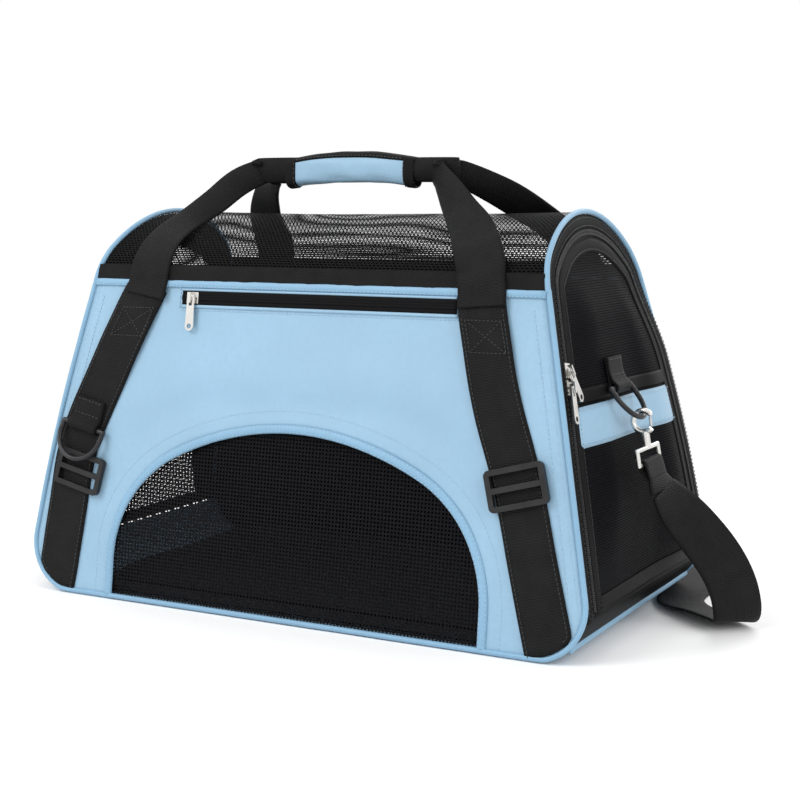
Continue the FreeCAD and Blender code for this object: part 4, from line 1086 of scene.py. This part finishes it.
# A tooth's corners, as shares of its half width, half length and height: its foot, then its smaller top.
TOOTH_CORNERS = [(a, f, 0) for a, f in ((-1, -1), (1, -1), (1, 1), (-1, 1))]
TOOTH_CORNERS += [(0.8 * a, 0.7 * f, 1) for a, f, _ in TOOTH_CORNERS]
TOOTH_FACES = ((0, 3, 2, 1), (4, 5, 6, 7), (0, 1, 5, 4), (1, 2, 6, 5), (2, 3, 7, 6), (3, 0, 4, 7))


def teeth(name, line, lean, material):
    """Half of a zip's coil: a rounded tooth at each step, set across the zip to one side."""
    pitch, size = 0.0016, (0.0026, 0.0005, 0.0007)
    spots = resampled(line, int(line_length(line) / pitch))
    verts, faces = [], []
    for p, ahead, normal, across in frames_along(spots, end_normal):
        base = len(verts)
        for a, f, n in TOOTH_CORNERS:
            middle = p + across * (lean + a * size[0] / 2)
            verts.append(middle + ahead * (f * size[1]) + normal * (0.0002 + n * size[2]))
        for face in TOOTH_FACES:
            faces.append(tuple(base + k for k in face))
    return mesh_piece(name, verts, faces, [(v.y, v.z) for v in verts], material)


def band(name, insets, foot, place, material, columns=6, ridge=0.0):
    """A band of an end between two insets, over its arch, from foot to foot."""
    lines = []
    for k in range(columns + 1):
        share = k / columns
        inset = insets[0] + (insets[1] - insets[0]) * share
        lift = ridge * math.sin(math.pi * share)
        lines.append([place(a, b, lift) for a, b in END_ARCH.line(inset, foot, 44, 22)])
    return grid(name, lines, material)


def end_panel(end, turn):
    """One end: the band that stays on the bag, the zip's halves, and the door with its nets."""
    door = f"{end}_door"
    flat_end, door_place = placers(end)
    piece = band(f"{end}_end_band", FRAME_INSETS, DOOR_FOOT - 0.002, flat_end, BLACK_FABRIC, 8, 0.0007)
    settle(thicken(piece, 0.0022), "bag", "black_fabric", f"{end}_end_frame", turn=turn)
    tape = band(f"{end}_outer_tape", (0.0115, 0.0155), DOOR_FOOT, flat_end, ZIP_TAPE, 4)
    settle(thicken(tape, 0.0009), "bag", "zip_tape", f"{end}_frame_zip", turn=turn)
    line = [flat_end(a, b) for a, b in END_ARCH.line(TEETH_SPLIT, DOOR_FOOT + 0.004, 44, 22)]
    row = teeth(f"{end}_outer_teeth", line, -0.0012, COIL)
    settle(row, "bag", "zip_coil", turn=turn)
    for shift, inset in (("outer", 0.0108), ("hem", 0.0046)):
        stitch_line = [flat_end(a, b, 0.0007) for a, b in END_ARCH.line(inset, DOOR_FOOT, 44, 22)]
        name = f"{end}_band_stitches_{shift}"
        sew(name, stitch_line, end_normal, BLACK_THREAD, "bag", "black_fabric", turn)

    tape = band(f"{end}_inner_tape", (0.0165, 0.0215), DOOR_FOOT, flat_end, ZIP_TAPE, 4)
    settle(thicken(tape, 0.0009), door, "zip_tape", f"{end}_door_zip", turn=turn)
    row = teeth(f"{end}_inner_teeth", line, 0.0012, COIL)
    settle(row, door, "zip_coil", turn=turn)
    insets = (DOOR_EDGE + 0.001, DOOR_BORDER)
    border = band(f"{end}_door_border", insets, DOOR_FOOT, door_place, BLACK_FABRIC, 6, 0.0006)
    settle(thicken(border, 0.0014), door, "black_fabric", f"{end}_door_panel", turn=turn)
    stitch_line = [door_place(a, b, 0.0004) for a, b in END_ARCH.line(DOOR_BORDER - 0.002, DOOR_FOOT, 44, 22)]
    sew(f"{end}_border_stitches", stitch_line, end_normal, BLACK_THREAD, door, "black_fabric", turn)

    rows, uvs = [], []
    half = END_ARCH.half_line(DOOR_BORDER - 0.003, DOOR_FOOT, 60, 24)
    for a, b in half:
        rows.append([door_place(a * (2 * k / 40 - 1), b, -0.0006) for k in range(41)])
        uvs.append([(a * (2 * k / 40 - 1), b) for k in range(41)])
    sheet = grid(f"{end}_door_net", rows, DOOR_NET, uvs)
    settle(sheet, door, "black_mesh", f"{end}_door_mesh", turn=turn)
    for name, low, tall in (("sash", WINDOW_FOOT, 0.010), ("foot_hem", DOOR_FOOT, 0.011)):
        high = low + tall
        rows = []
        for i in range(5):
            up = low + (high - low) * i / 4
            reach = END_ARCH.side(up, DOOR_BORDER - 0.004)
            rows.append([door_place(reach * (2 * k / 40 - 1), up, 0.0005) for k in range(41)])
        strip = thicken(grid(f"{end}_door_{name}", rows, BLACK_FABRIC), 0.0011)
        settle(strip, door, "black_fabric", turn=turn)


def door_patch(end, turn):
    """The blue band across the door, with a row of stitches along its top and one along its foot."""
    door = f"{end}_door"
    door_place = placers(end)[1]
    low, high = 0.1465 / END_COS, 0.1755 / END_COS
    rows = []
    for i in range(9):
        up = low + (high - low) * i / 8
        left = -END_ARCH.side(up, 0.0235)
        right = END_ARCH.side(up, 0.0245)
        rows.append([])
        for k in range(41):
            across = left + (right - left) * k / 40
            rim = min(i, 8 - i, k / 2, (40 - k) / 2, 1)
            rows[-1].append(door_place(across, up, 0.0002 + 0.0009 * rim))
    sheet = thicken(grid(f"{end}_door_band", rows, SHELL_FABRIC), 0.0008)
    settle(sheet, door, "shell_fabric", f"{end}_door_patch", turn=turn)
    rim = 0.0022
    rows = []
    for hand, up, inset in ((-1, low, 0.0235), (1, high, 0.0245)):
        begin = hand * (END_ARCH.side(up, inset) - rim)
        span = 2 * END_ARCH.side(up, 0.024) - 2 * rim
        rows.append([door_place(begin - hand * span * i / 30, up - hand * rim, 0.0014) for i in range(31)])
    for number, line in enumerate(rows):
        name = f"{end}_patch_stitches_{number + 1}"
        sew(name, line, end_normal, BLUE_THREAD, door, "shell_fabric", turn)


for end_name, end_turn in ENDS.items():
    end_panel(end_name, end_turn)
    door_patch(end_name, end_turn)

# ---------------------------------------------------------------- base, board and mat


SILL_FOOT = 0.0085


def base():
    """The tub of fabric under the bag: its floor, rounded lower corners and end walls."""
    half = [p for p in panel_half(0.0016, 0.0008, 14, 16, 60, 2) if p[1] * SIDE_COS <= TURN_UP + 0.001]
    outline = [(-a, b) for a, b in half[::-1]] + half[1:]
    rows, uvs = [], []
    run, before = 0.0, None
    for along, up in outline:
        height = max(up * SIDE_COS, 0.0008)
        run += math.dist((along, up), before) if before else 0.0
        before = (along, up)
        reach = half_depth(height) - 0.0016
        row, uv = [], []
        for k in range(31):
            share = 2 * k / 30 - 1
            rim = 1 - smooth_step(0.010, 0.045, TURN_UP + 0.004 - height)
            wave = 0.0011 * noise.noise(Vector((along * 8, share * 3, 7.1))) * rim
            side = 1 if along > 0 else -1
            row.append(warped(Vector((along + side * wave, share * reach, height))))
            uv.append((share * reach, run))
        rows.append(row)
        uvs.append(uv)
    # The tub's outer face takes the darkened base blue, which is painted shade.
    sheet = grid("base_fabric_tub", rows, [SHADED_BASE_FABRIC, LINING], uvs)
    thicken(sheet, 0.0014, 0.0)
    settle(sheet, "bag", "base_fabric", "base_panel")
    sill = [p for p in outline if p[0] > 0 and SILL_FOOT <= p[1] * SIDE_COS]
    for end, turn in ENDS.items():
        rows = []
        for along, up in sill:
            height = up * SIDE_COS
            reach = half_depth(height) - 0.0020
            row = [Vector((along + 0.0014, reach * (2 * k / 40 - 1), height)) for k in range(41)]
            rows.append([warped(point) for point in row])
        strip = thicken(grid(f"{end}_sill", rows, BLACK_FABRIC), 0.0010)
        settle(strip, "bag", "black_fabric", turn=turn)
        line = [point + Vector((0.0006, 0, 0)) for point in rows[0]]
        bead = swept(f"{end}_foot_tape", line, tape_section(0.0056, 0.0011, 0.0006), end_normal, TRIM_FABRIC)
        settle(bead, "bag", "trim_fabric", turn=turn)
        sew(f"{end}_foot_stitches", line, end_normal, BLUE_THREAD, "bag", "trim_fabric", turn, lift=0.0014)


SQUARENESS = 0.16


def swollen(name, half_x, half_y, low, high, corner, material):
    """A flat pad with rounded corners, a little smaller than it will be once it is blown up."""
    count = 48
    outline = []
    for i in range(count):
        angle = 2 * math.pi * i / count
        cos, sin = math.cos(angle), math.sin(angle)
        x = math.copysign(abs(cos) ** SQUARENESS, cos) * half_x
        y = math.copysign(abs(sin) ** SQUARENESS, sin) * half_y
        outline.append((x, y))
    verts, faces = [], []
    levels = ((0.93, low), (1.0, low + corner), (1.0, high - corner), (0.93, high))
    for share, height in levels:
        for x, y in outline:
            verts.append((x * share, y * share, height))
    for level in range(3):
        for k in range(count):
            m = (k + 1) % count
            a, b = level * count, (level + 1) * count
            faces.append((a + k, a + m, b + m, b + k))
    faces.append(tuple(range(count))[::-1])
    faces.append(tuple(3 * count + k for k in range(count)))
    return mesh_piece(name, verts, faces, None, material)


def blown(piece, voxel, pressure, frames, cap):
    """Remeshes a closed piece, fills it with air as cloth, and keeps each point within cap."""
    remesh = piece.modifiers.new("remesh", "REMESH")
    remesh.mode = "VOXEL"
    remesh.voxel_size = voxel
    apply_modifiers(piece)
    start = [v.co.copy() for v in piece.data.vertices]
    cloth = piece.modifiers.new("cloth", "CLOTH")
    cloth.settings.use_pressure = True
    cloth.settings.uniform_pressure_force = pressure
    cloth.settings.effector_weights.gravity = 0.0
    cloth.settings.quality = 5
    cloth.point_cache.frame_start, cloth.point_cache.frame_end = 1, frames
    scene = bpy.context.scene
    for number in range(1, frames + 1):
        scene.frame_set(number)
        bpy.context.view_layer.update()
    apply_modifiers(piece)
    scene.frame_set(1)
    for vertex, before in zip(piece.data.vertices, start):
        move = vertex.co - before
        if move.length > cap:
            vertex.co = before + move * (cap / move.length)


def apply_modifiers(piece):
    """Bakes a piece's modifiers into its mesh."""
    graph = bpy.context.evaluated_depsgraph_get()
    mesh = bpy.data.meshes.new_from_object(piece.evaluated_get(graph))
    piece.modifiers.clear()
    piece.data = mesh
    for polygon in mesh.polygons:
        polygon.use_smooth = True


def floor_mat():
    """The fleece mat, blown up by the cloth simulation, on the stiff board."""
    low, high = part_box("floor_mat")
    inset, corner = 0.004, 0.002
    span = (low[2] + 0.0004, high[2] - 0.0012)
    mat = swollen("floor_mat_pad", high[0] - inset, high[1] - inset, *span, corner, MAT_FLEECE)
    blown(mat, 0.0055, 4.0, 14, 0.004)
    floor_height, roof_height = low[2] + 0.0002, high[2] + 0.004
    for vertex in mat.data.vertices:
        vertex.co.z = min(max(vertex.co.z, floor_height), roof_height)
    settle(mat, "bag", "mat_fleece", "floor_mat")


base()
floor_mat()

# ---------------------------------------------------------------- straps on the long panels

LEFT_SEWN = [(-0.224, 0.006), (-0.214, 0.066), (-0.204, 0.126), (-0.174, 0.200), (-0.148, 0.258)]
RIGHT_SEWN = [
    (0.223, 0.006), (0.2065, 0.0635), (0.190, 0.121), (0.1700, 0.178), (0.1585, 0.222), (0.150, 0.258),
]


def inside_corner(along, up, margin):
    """Pulls a panel point inside the panel's rounded lower corners."""
    lean = math.atan(END_LEAN * SIDE_COS)
    centre = HALF_LENGTH - math.tan(lean) * LOWER_CORNER - LOWER_CORNER / math.cos(lean)
    away = Vector((abs(along) - centre, up - LOWER_CORNER))
    limit = LOWER_CORNER - margin
    if away.x > 0 and away.y < 0 and away.length > limit:
        away = away.normalized() * limit
        return math.copysign(centre + away.x, along), LOWER_CORNER + away.y
    return along, up


def sewn_strap(name, line, turn, node):
    """Webbing sewn flat up a long panel, standing off it a little below the seam."""
    middle = catmull([(a, h / SIDE_COS, 0) for a, h in line], 14)
    rows, uvs, along = [], [], 0.0
    edges = {-1: [], 1: []}
    for i, p in enumerate(middle):
        ahead = (middle[min(i + 1, len(middle) - 1)] - middle[max(i - 1, 0)]).normalized()
        side = Vector((ahead.y, -ahead.x, 0))
        if i:
            along += (p - middle[i - 1]).length
        stand = 0.0026 * smooth_step(0.17, 0.225, p.y) * (1 - smooth_step(0.238, 0.262, p.y))
        row, uv = [], []
        for k in range(11):
            share = k / 5 - 1
            spot = p + side * (share * WEBBING_WIDTH / 2)
            a, b = inside_corner(spot.x, spot.y, 0.0035)
            curl = 0.0004 * noise.noise(Vector((along * 22, share, 2.0 + line[0][0])))
            row.append(side_place(a, b, 0.0010 + stand * (1 - 0.4 * share * share) + curl))
            uv.append((share * WEBBING_WIDTH / 2, along))
        rows.append(row)
        uvs.append(uv)
        for hand in (-1, 1):
            a, b = inside_corner(*(p + side * (hand * 0.0165)).to_2d(), 0.006)
            edges[hand].append(side_place(a, b, 0.0020 + stand * 0.7))
    strap = grid(name, rows, WEBBING, uvs)
    settle(thicken(strap, WEBBING_THICKNESS, 0.0), "bag", "black_webbing", node, turn=turn)
    for hand, edge in edges.items():
        row_name = f"{name}_stitches_{'a' if hand < 0 else 'b'}"
        sew(row_name, edge[:-6], side_normal, BLACK_THREAD, "bag", "black_webbing", turn)


for side_name, side_turn in SIDES.items():
    hands = ("left", "right") if side_name == "front" else ("right", "left")
    for hand_name, sewn_line in zip(hands, (LEFT_SEWN, RIGHT_SEWN)):
        strap_node = f"{side_name}_{hand_name}_strap"
        sewn_strap(f"{side_name}_sewn_{hand_name}", sewn_line, side_turn, strap_node)

# ---------------------------------------------------------------- handle

# Half of each loop, from its seam to the wrap: place, width and how far its width has turned upright.
FRONT_LEFT_RISE = [
    (-0.1500, -0.1030, 0.248, 0.038, 0.00), (-0.1480, -0.1000, 0.260, 0.038, 0.00),
    (-0.1475, -0.0985, 0.268, 0.038, 0.00), (-0.1465, -0.0940, 0.279, 0.038, 0.00),
    (-0.1450, -0.0838, 0.2915, 0.037, 0.00), (-0.1430, -0.0685, 0.3015, 0.034, 0.05),
    (-0.1380, -0.0495, 0.3115, 0.028, 0.15), (-0.1270, -0.0340, 0.324, 0.025, 0.35),
    (-0.1110, -0.0240, 0.339, 0.024, 0.60), (-0.0940, -0.0180, 0.3475, 0.021, 0.85),
    (-0.0780, -0.0155, 0.350, 0.020, 1.00),
]
FRONT_RIGHT_RISE = [
    (0.1530, -0.1030, 0.248, 0.038, 0.00), (0.1520, -0.1000, 0.260, 0.038, 0.00),
    (0.1505, -0.0985, 0.268, 0.038, 0.00), (0.1480, -0.0940, 0.279, 0.038, 0.01),
    (0.1400, -0.0845, 0.292, 0.037, 0.05), (0.1290, -0.0700, 0.3035, 0.034, 0.12),
    (0.1140, -0.0550, 0.315, 0.029, 0.25), (0.0985, -0.0400, 0.328, 0.025, 0.45),
    (0.0850, -0.0270, 0.339, 0.021, 0.68), (0.0750, -0.0180, 0.346, 0.019, 0.88),
    (0.0650, -0.0155, 0.349, 0.018, 1.00),
]
BACK_LEFT_RISE = [
    (-0.1530, 0.1030, 0.248, 0.038, 0.0), (-0.1520, 0.1000, 0.260, 0.038, 0.0),
    (-0.1490, 0.0940, 0.279, 0.038, 0.0), (-0.1450, 0.0838, 0.2915, 0.038, 0.0),
    (-0.1390, 0.0680, 0.303, 0.036, 0.05), (-0.1280, 0.0470, 0.316, 0.032, 0.2),
    (-0.1140, 0.0280, 0.329, 0.028, 0.4), (-0.0980, 0.0100, 0.340, 0.023, 0.65),
    (-0.0840, -0.0030, 0.347, 0.020, 0.85), (-0.0720, -0.0085, 0.349, 0.019, 1.0),
]
BACK_RIGHT_RISE = [(-along, *rest) for along, *rest in BACK_LEFT_RISE]
UPRIGHT = math.radians(88)


def half_loop(rise, hand):
    """Stations of half a handle loop: its middle, its width's direction, and the width."""
    out = []
    for along, across, up, width, turned in rise:
        angle = UPRIGHT * turned
        way = Vector((hand * math.cos(angle), 0, -math.sin(angle)))
        out.append((Vector((along, across, up)), way, width))
    return out


def handle_loop(side, left_rise, right_rise):
    """One handle strap: flat at its seams, folded in half where it passes through the wrap."""
    stations = half_loop(left_rise, 1) + half_loop(right_rise, -1)[::-1]
    centres = catmull([s[0] for s in stations], 8)
    ways = catmull([s[1] for s in stations], 8)
    widths = [v.x for v in catmull([(s[2], 0, 0) for s in stations], 8)]
    rows, uvs, along = [], [], 0.0
    for i, (centre, way, width) in enumerate(zip(centres, ways, widths)):
        ahead = (centres[min(i + 1, len(centres) - 1)] - centres[max(i - 1, 0)]).normalized()
        way = (way - ahead * way.dot(ahead)).normalized()
        normal = way.cross(ahead)
        fold = min((WEBBING_WIDTH - width) / (WEBBING_WIDTH - FOLDED_WIDTH), 1.2)
        if i:
            along += (centre - centres[i - 1]).length
        curl = 0.0006 * noise.noise(Vector((along * 14, 3.1, centre.y * 9)))
        row, uv = [], []
        for k in range(13):
            share = k / 6 - 1
            bend = 0.0030 * fold * (1 - share * share) + curl * share
            row.append(centre + way * (share * width / 2) + normal * bend)
            uv.append((share * WEBBING_WIDTH / 2, along))
        rows.append(row)
        uvs.append(uv)
    loop = grid(f"{side}_handle_loop", rows, WEBBING, uvs)
    settle(thicken(loop, WEBBING_THICKNESS, 0.0), "bag", "black_webbing", f"{side}_handle_webbing")


def seam_boxes():
    """The sewn squares that hold each handle strap to its panel, just under the seam."""
    for side, turn in SIDES.items():
        for number, (along, lean) in enumerate(((-0.1600, 0.43), (0.1578, -0.25))):
            half, low, high = 0.0145, 0.2145, 0.2375
            corners = [(-half, low), (half, low), (half, high), (-half, high), (-half, low), (half, high)]
            corners += [(half, low), (-half, high)]
            line = []
            for (a, b), (c, d) in zip(corners, corners[1:]):
                for k in range(12):
                    share = k / 12
                    up = b + (d - b) * share
                    shift = along + lean * (up - 0.226)
                    line.append(side_place(shift + a + (c - a) * share, up / SIDE_COS, 0.0042))
            name = f"{side}_strap_box_{number + 1}"
            look = {"pitch": 0.0032, "length": 0.0022, "radius": 0.0003}
            sew(name, line, side_normal, BLACK_THREAD, "bag", "black_webbing", turn, **look)


WRAP_MIDDLE = Vector((-0.006, -0.012, 0.3505))
WRAP_HALF, WRAP_TALL, WRAP_DEEP = 0.059, 0.0118, 0.0086
WRAP_DROOP = 0.0045


def wrap_point(along, angle, grow=0.0):
    """A point on the wrap's padded skin: along it, and round its section from the back."""
    cos, sin = math.cos(angle), math.sin(angle)
    full = 1 - 0.10 * abs(along / WRAP_HALF) ** 3
    deep = (WRAP_DEEP + grow) * full
    tall = (WRAP_TALL + grow) * (1 - 0.05 * abs(along / WRAP_HALF) ** 4)
    y = math.copysign(abs(cos) ** 0.72, cos) * deep
    z = math.copysign(abs(sin) ** 0.72, sin) * tall
    quilt = 0.0007 * noise.noise(Vector((along * 45, cos * 1.5, sin * 1.5)))
    wave = quilt + 0.0005 * math.cos(along * 160) * max(-cos, 0) * 0.4
    drop = WRAP_DROOP * (along / WRAP_HALF) ** 2
    return WRAP_MIDDLE + Vector((along, y * (1 + wave / deep), z * (1 + quilt / tall) - drop + 0.001))


def wrap_shell(name, spans, angles, grow, material, columns=40, round_it=40):
    """Part of the wrap's skin between two places along it and two angles round it."""
    rows, uvs = [], []
    for i in range(columns + 1):
        along = spans[0] + (spans[1] - spans[0]) * i / columns
        row, uv = [], []
        for k in range(round_it + 1):
            angle = angles[0] + (angles[1] - angles[0]) * k / round_it
            rim = min(i, columns - i, 2) / 2 if grow else 1
            side_rim = min(k, round_it - k, 2) / 2 if grow else 1
            row.append(wrap_point(along, angle, grow * min(rim, side_rim)))
            uv.append((angle * 0.011, along))
        rows.append(row)
        uvs.append(uv)
    return grid(name, rows, material, uvs)


def wrap_normal(_, point):
    """Out of the wrap's middle line, near enough for its stitches."""
    return (point - WRAP_MIDDLE) * Vector((0, 1, 1))


def handle_wrap():
    """The padded sleeve that holds the handle straps together, bound in black tape."""
    full_turn = (0, 2 * math.pi)
    ends = (-WRAP_HALF + 0.005, WRAP_HALF - 0.005)
    sleeve = wrap_shell("wrap_sleeve", ends, full_turn, 0.0, SHELL_FABRIC, 60, 56)
    weld = sleeve.modifiers.new("join", "WELD")
    weld.merge_threshold = 0.00005
    thicken(sleeve, 0.0016, -1.0, middle=WRAP_MIDDLE)
    settle(sleeve, "bag", "shell_fabric", "handle_wrap")
    ends = (-WRAP_HALF - 0.0006, WRAP_HALF + 0.0006)
    angles = (0.28 * math.pi, 0.80 * math.pi)
    top = wrap_shell("wrap_top_binding", ends, angles, 0.0008, FINE_WEBBING, 60, 20)
    settle(thicken(top, 0.0008, 0.0), "bag", "black_webbing")
    for number, hand in enumerate((-1, 1)):
        ends = sorted((hand * (WRAP_HALF + 0.0008), hand * (WRAP_HALF - 0.0085)))
        name = f"wrap_end_binding_{number + 1}"
        binding = wrap_shell(name, ends, full_turn, 0.0009, FINE_WEBBING, 10, 56)
        settle(thicken(binding, 0.0008, 0.0), "bag", "black_webbing")
        along = hand * (WRAP_HALF - 0.0075)
        line = [wrap_point(along, math.pi * (0.8 + 0.62 * k / 30), 0.0013) for k in range(31)]
        name = f"wrap_end_stitches_{number + 1}"
        sew(name, line, wrap_normal, BLACK_THREAD, "bag", "black_webbing")
    reach = WRAP_HALF - 0.009
    line = [wrap_point(-reach + 2 * reach * k / 60, 0.775 * math.pi, 0.0013) for k in range(61)]
    sew("wrap_top_stitches", line, wrap_normal, BLACK_THREAD, "bag", "black_webbing")


handle_loop("front", FRONT_LEFT_RISE, FRONT_RIGHT_RISE)
handle_loop("back", BACK_LEFT_RISE, BACK_RIGHT_RISE)
seam_boxes()
handle_wrap()

# ---------------------------------------------------------------- pocket

POCKET_LEFT, POCKET_HALF, POCKET_UP = 0.1145, 0.132, 0.247 / SIDE_COS


# The tape over the pocket's coil: two rounded ridges with a furrow between them.
COIL_HALF = ((0.0022, 0.0002), (0.0016, 0.0007), (0.0004, 0.0008))
COIL_PROFILE = [(-a, b) for a, b in COIL_HALF] + [(0.0, 0.0003)] + list(COIL_HALF[::-1])


def pocket():
    """The black zip high on the front, its blue lips and stitches, and the lining behind it."""
    def line_at(up, lift, reach=POCKET_HALF, count=80):
        start = -POCKET_LEFT - (reach - POCKET_HALF)
        return [warped(on_side(start + (reach - start) * k / count, up, lift)) for k in range(count + 1)]

    tape = grid("pocket_tape", [line_at(POCKET_UP - 0.006 + 0.002 * i, 0.00025) for i in range(7)], ZIP_TAPE)
    settle(thicken(tape, 0.0006, 1.0), "bag", "zip_tape", "pocket_zip_tape")
    rows = [line_at(POCKET_UP + shift, 0.0006 + lift) for shift, lift in COIL_PROFILE]
    coil = grid("pocket_coil_cover", rows, ZIP_TAPE)
    settle(thicken(coil, 0.0004, 0.0), "bag", "zip_coil", "pocket_zip_coil")
    for name, up, width in (("top", POCKET_UP + 0.0066, 0.0022), ("foot", POCKET_UP - 0.0068, 0.0028)):
        section = tape_section(width, 0.0009, 0.0005)
        line = line_at(up, 0.0002, POCKET_HALF + 0.001)
        lip = swept(f"pocket_lip_{name}", line, section, side_normal, SHELL_FABRIC)
        settle(lip, "bag", "shell_fabric")
    stitch_rows = [line_at(POCKET_UP - 0.0098, 0.0001, POCKET_HALF + 0.002)]
    for end in (-POCKET_LEFT - 0.0025, POCKET_HALF + 0.0025):
        ups = [POCKET_UP - 0.009 + 0.018 * k / 8 for k in range(9)]
        stitch_rows.append([warped(on_side(end, up, 0.0002)) for up in ups])
    for number, row_line in enumerate(stitch_rows):
        name = f"pocket_stitches_{number + 1}"
        sew(name, row_line, side_normal, BLUE_THREAD, "bag", "shell_fabric", radius=0.0004)
    low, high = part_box("pocket_liner")
    rows = []
    for i in range(25):
        height = low[2] + 0.001 + (high[2] - low[2] - 0.002) * i / 24
        inner = -half_depth(height) + 0.0078
        rows.append([])
        for k in range(61):
            along = (high[0] - 0.001) * (2 * k / 60 - 1)
            wave = 0.0012 * noise.noise(Vector((along * 18, height * 14, 0.4))) + 0.0008
            rows[-1].append(Vector((along, inner + wave, height)))
    liner = grid("pocket_lining", rows, LINING)
    settle(thicken(liner, 0.0009, 0.0), "bag", "black_fabric", "pocket_liner")


pocket()

# ---------------------------------------------------------------- hardware


def ring_loop(name, joint_name, out, depth, half_wide, body, slot, node):
    """A folded webbing loop round a ring's bar, sewn down above it."""
    joint = next(j for j in frame["joints"] if j["name"] == joint_name)
    middle = Vector(joint["pos_m"])
    across = -Vector(joint["axis"]).normalized()
    up = out.cross(across).normalized()
    path = [
        (0.0024 - depth, 0.0235), (0.0022 - depth, 0.0130), (-0.0002, 0.0062), (0.0032, 0.0010),
        (0.0010, -0.0031), (-0.0027, -0.0012), (0.0008 - depth, 0.0080), (0.0008 - depth, 0.0235),
    ]
    centres = catmull([middle + out * a + up * b for a, b in path], 8)
    ways = [across] * len(centres)
    loop = ribbon(name, centres, ways, [half_wide * 2] * len(centres), FOLD_THICKNESS, WEBBING)
    settle(loop, body, slot, node)
    for number, share in enumerate((0.0100, 0.0215)):
        start = middle + out * (0.0031 - depth) + up * share
        line = [start + across * (half_wide * 0.86 * (k / 8 - 1)) for k in range(17)]
        sew(f"{name}_stitches_{number + 1}", line, lambda _, p: out, BLACK_THREAD, body, slot)


for end_name, end_turn in ENDS.items():
    way_out = Vector((END_COS if end_name == "right" else -END_COS, 0, END_SIN))
    ring_loop(
        f"{end_name}_ring_loop", f"{end_name}_ring_swing", way_out, 0.0038, 0.0148,
        f"{end_name}_door", "black_webbing", f"{end_name}_ring_tab",
    )
ring_loop(
    "front_ring_loop", "front_ring_swing", Vector((0, -SIDE_COS, SIDE_SIN)), 0.0033, 0.0148,
    "bag", "black_webbing", "front_ring_tab",
)


def dress(node, material, bevel=0.0003):
    """Gives a CAD piece its material and softens its hard edges."""
    piece = frame["nodes"][node]
    piece.data.materials.clear()
    piece.data.materials.append(material)
    if bevel:
        soft = piece.modifiers.new("soft_edges", "BEVEL")
        soft.width, soft.segments = bevel, 3
        soft.limit_method, soft.angle_limit = "ANGLE", math.radians(50)
        soft.harden_normals = True
    for polygon in piece.data.polygons:
        polygon.use_smooth = True


for node in ("front_left_glide", "front_right_glide", "back_glides", "strap_adjuster"):
    dress(node, PLASTIC, 0.0007)
for node in ("front_d_ring", "right_d_ring", "left_d_ring"):
    dress(node, RING_PLASTIC, 0.0)
for end_name in ENDS:
    dress(f"{end_name}_snap_hook", NICKEL, 0.0)
    dress(f"{end_name}_hook_gate", STEEL, 0.0003)
    for level in ("upper", "lower"):
        dress(f"{end_name}_{level}_slider", NICKEL, 0.0004)
        dress(f"{end_name}_{level}_pull", NICKEL, 0.0004)
dress("pocket_slider", NICKEL, 0.0004)
dress("pocket_pull", NICKEL, 0.0004)
dress("bottom_board", BOARD, 0.0008)
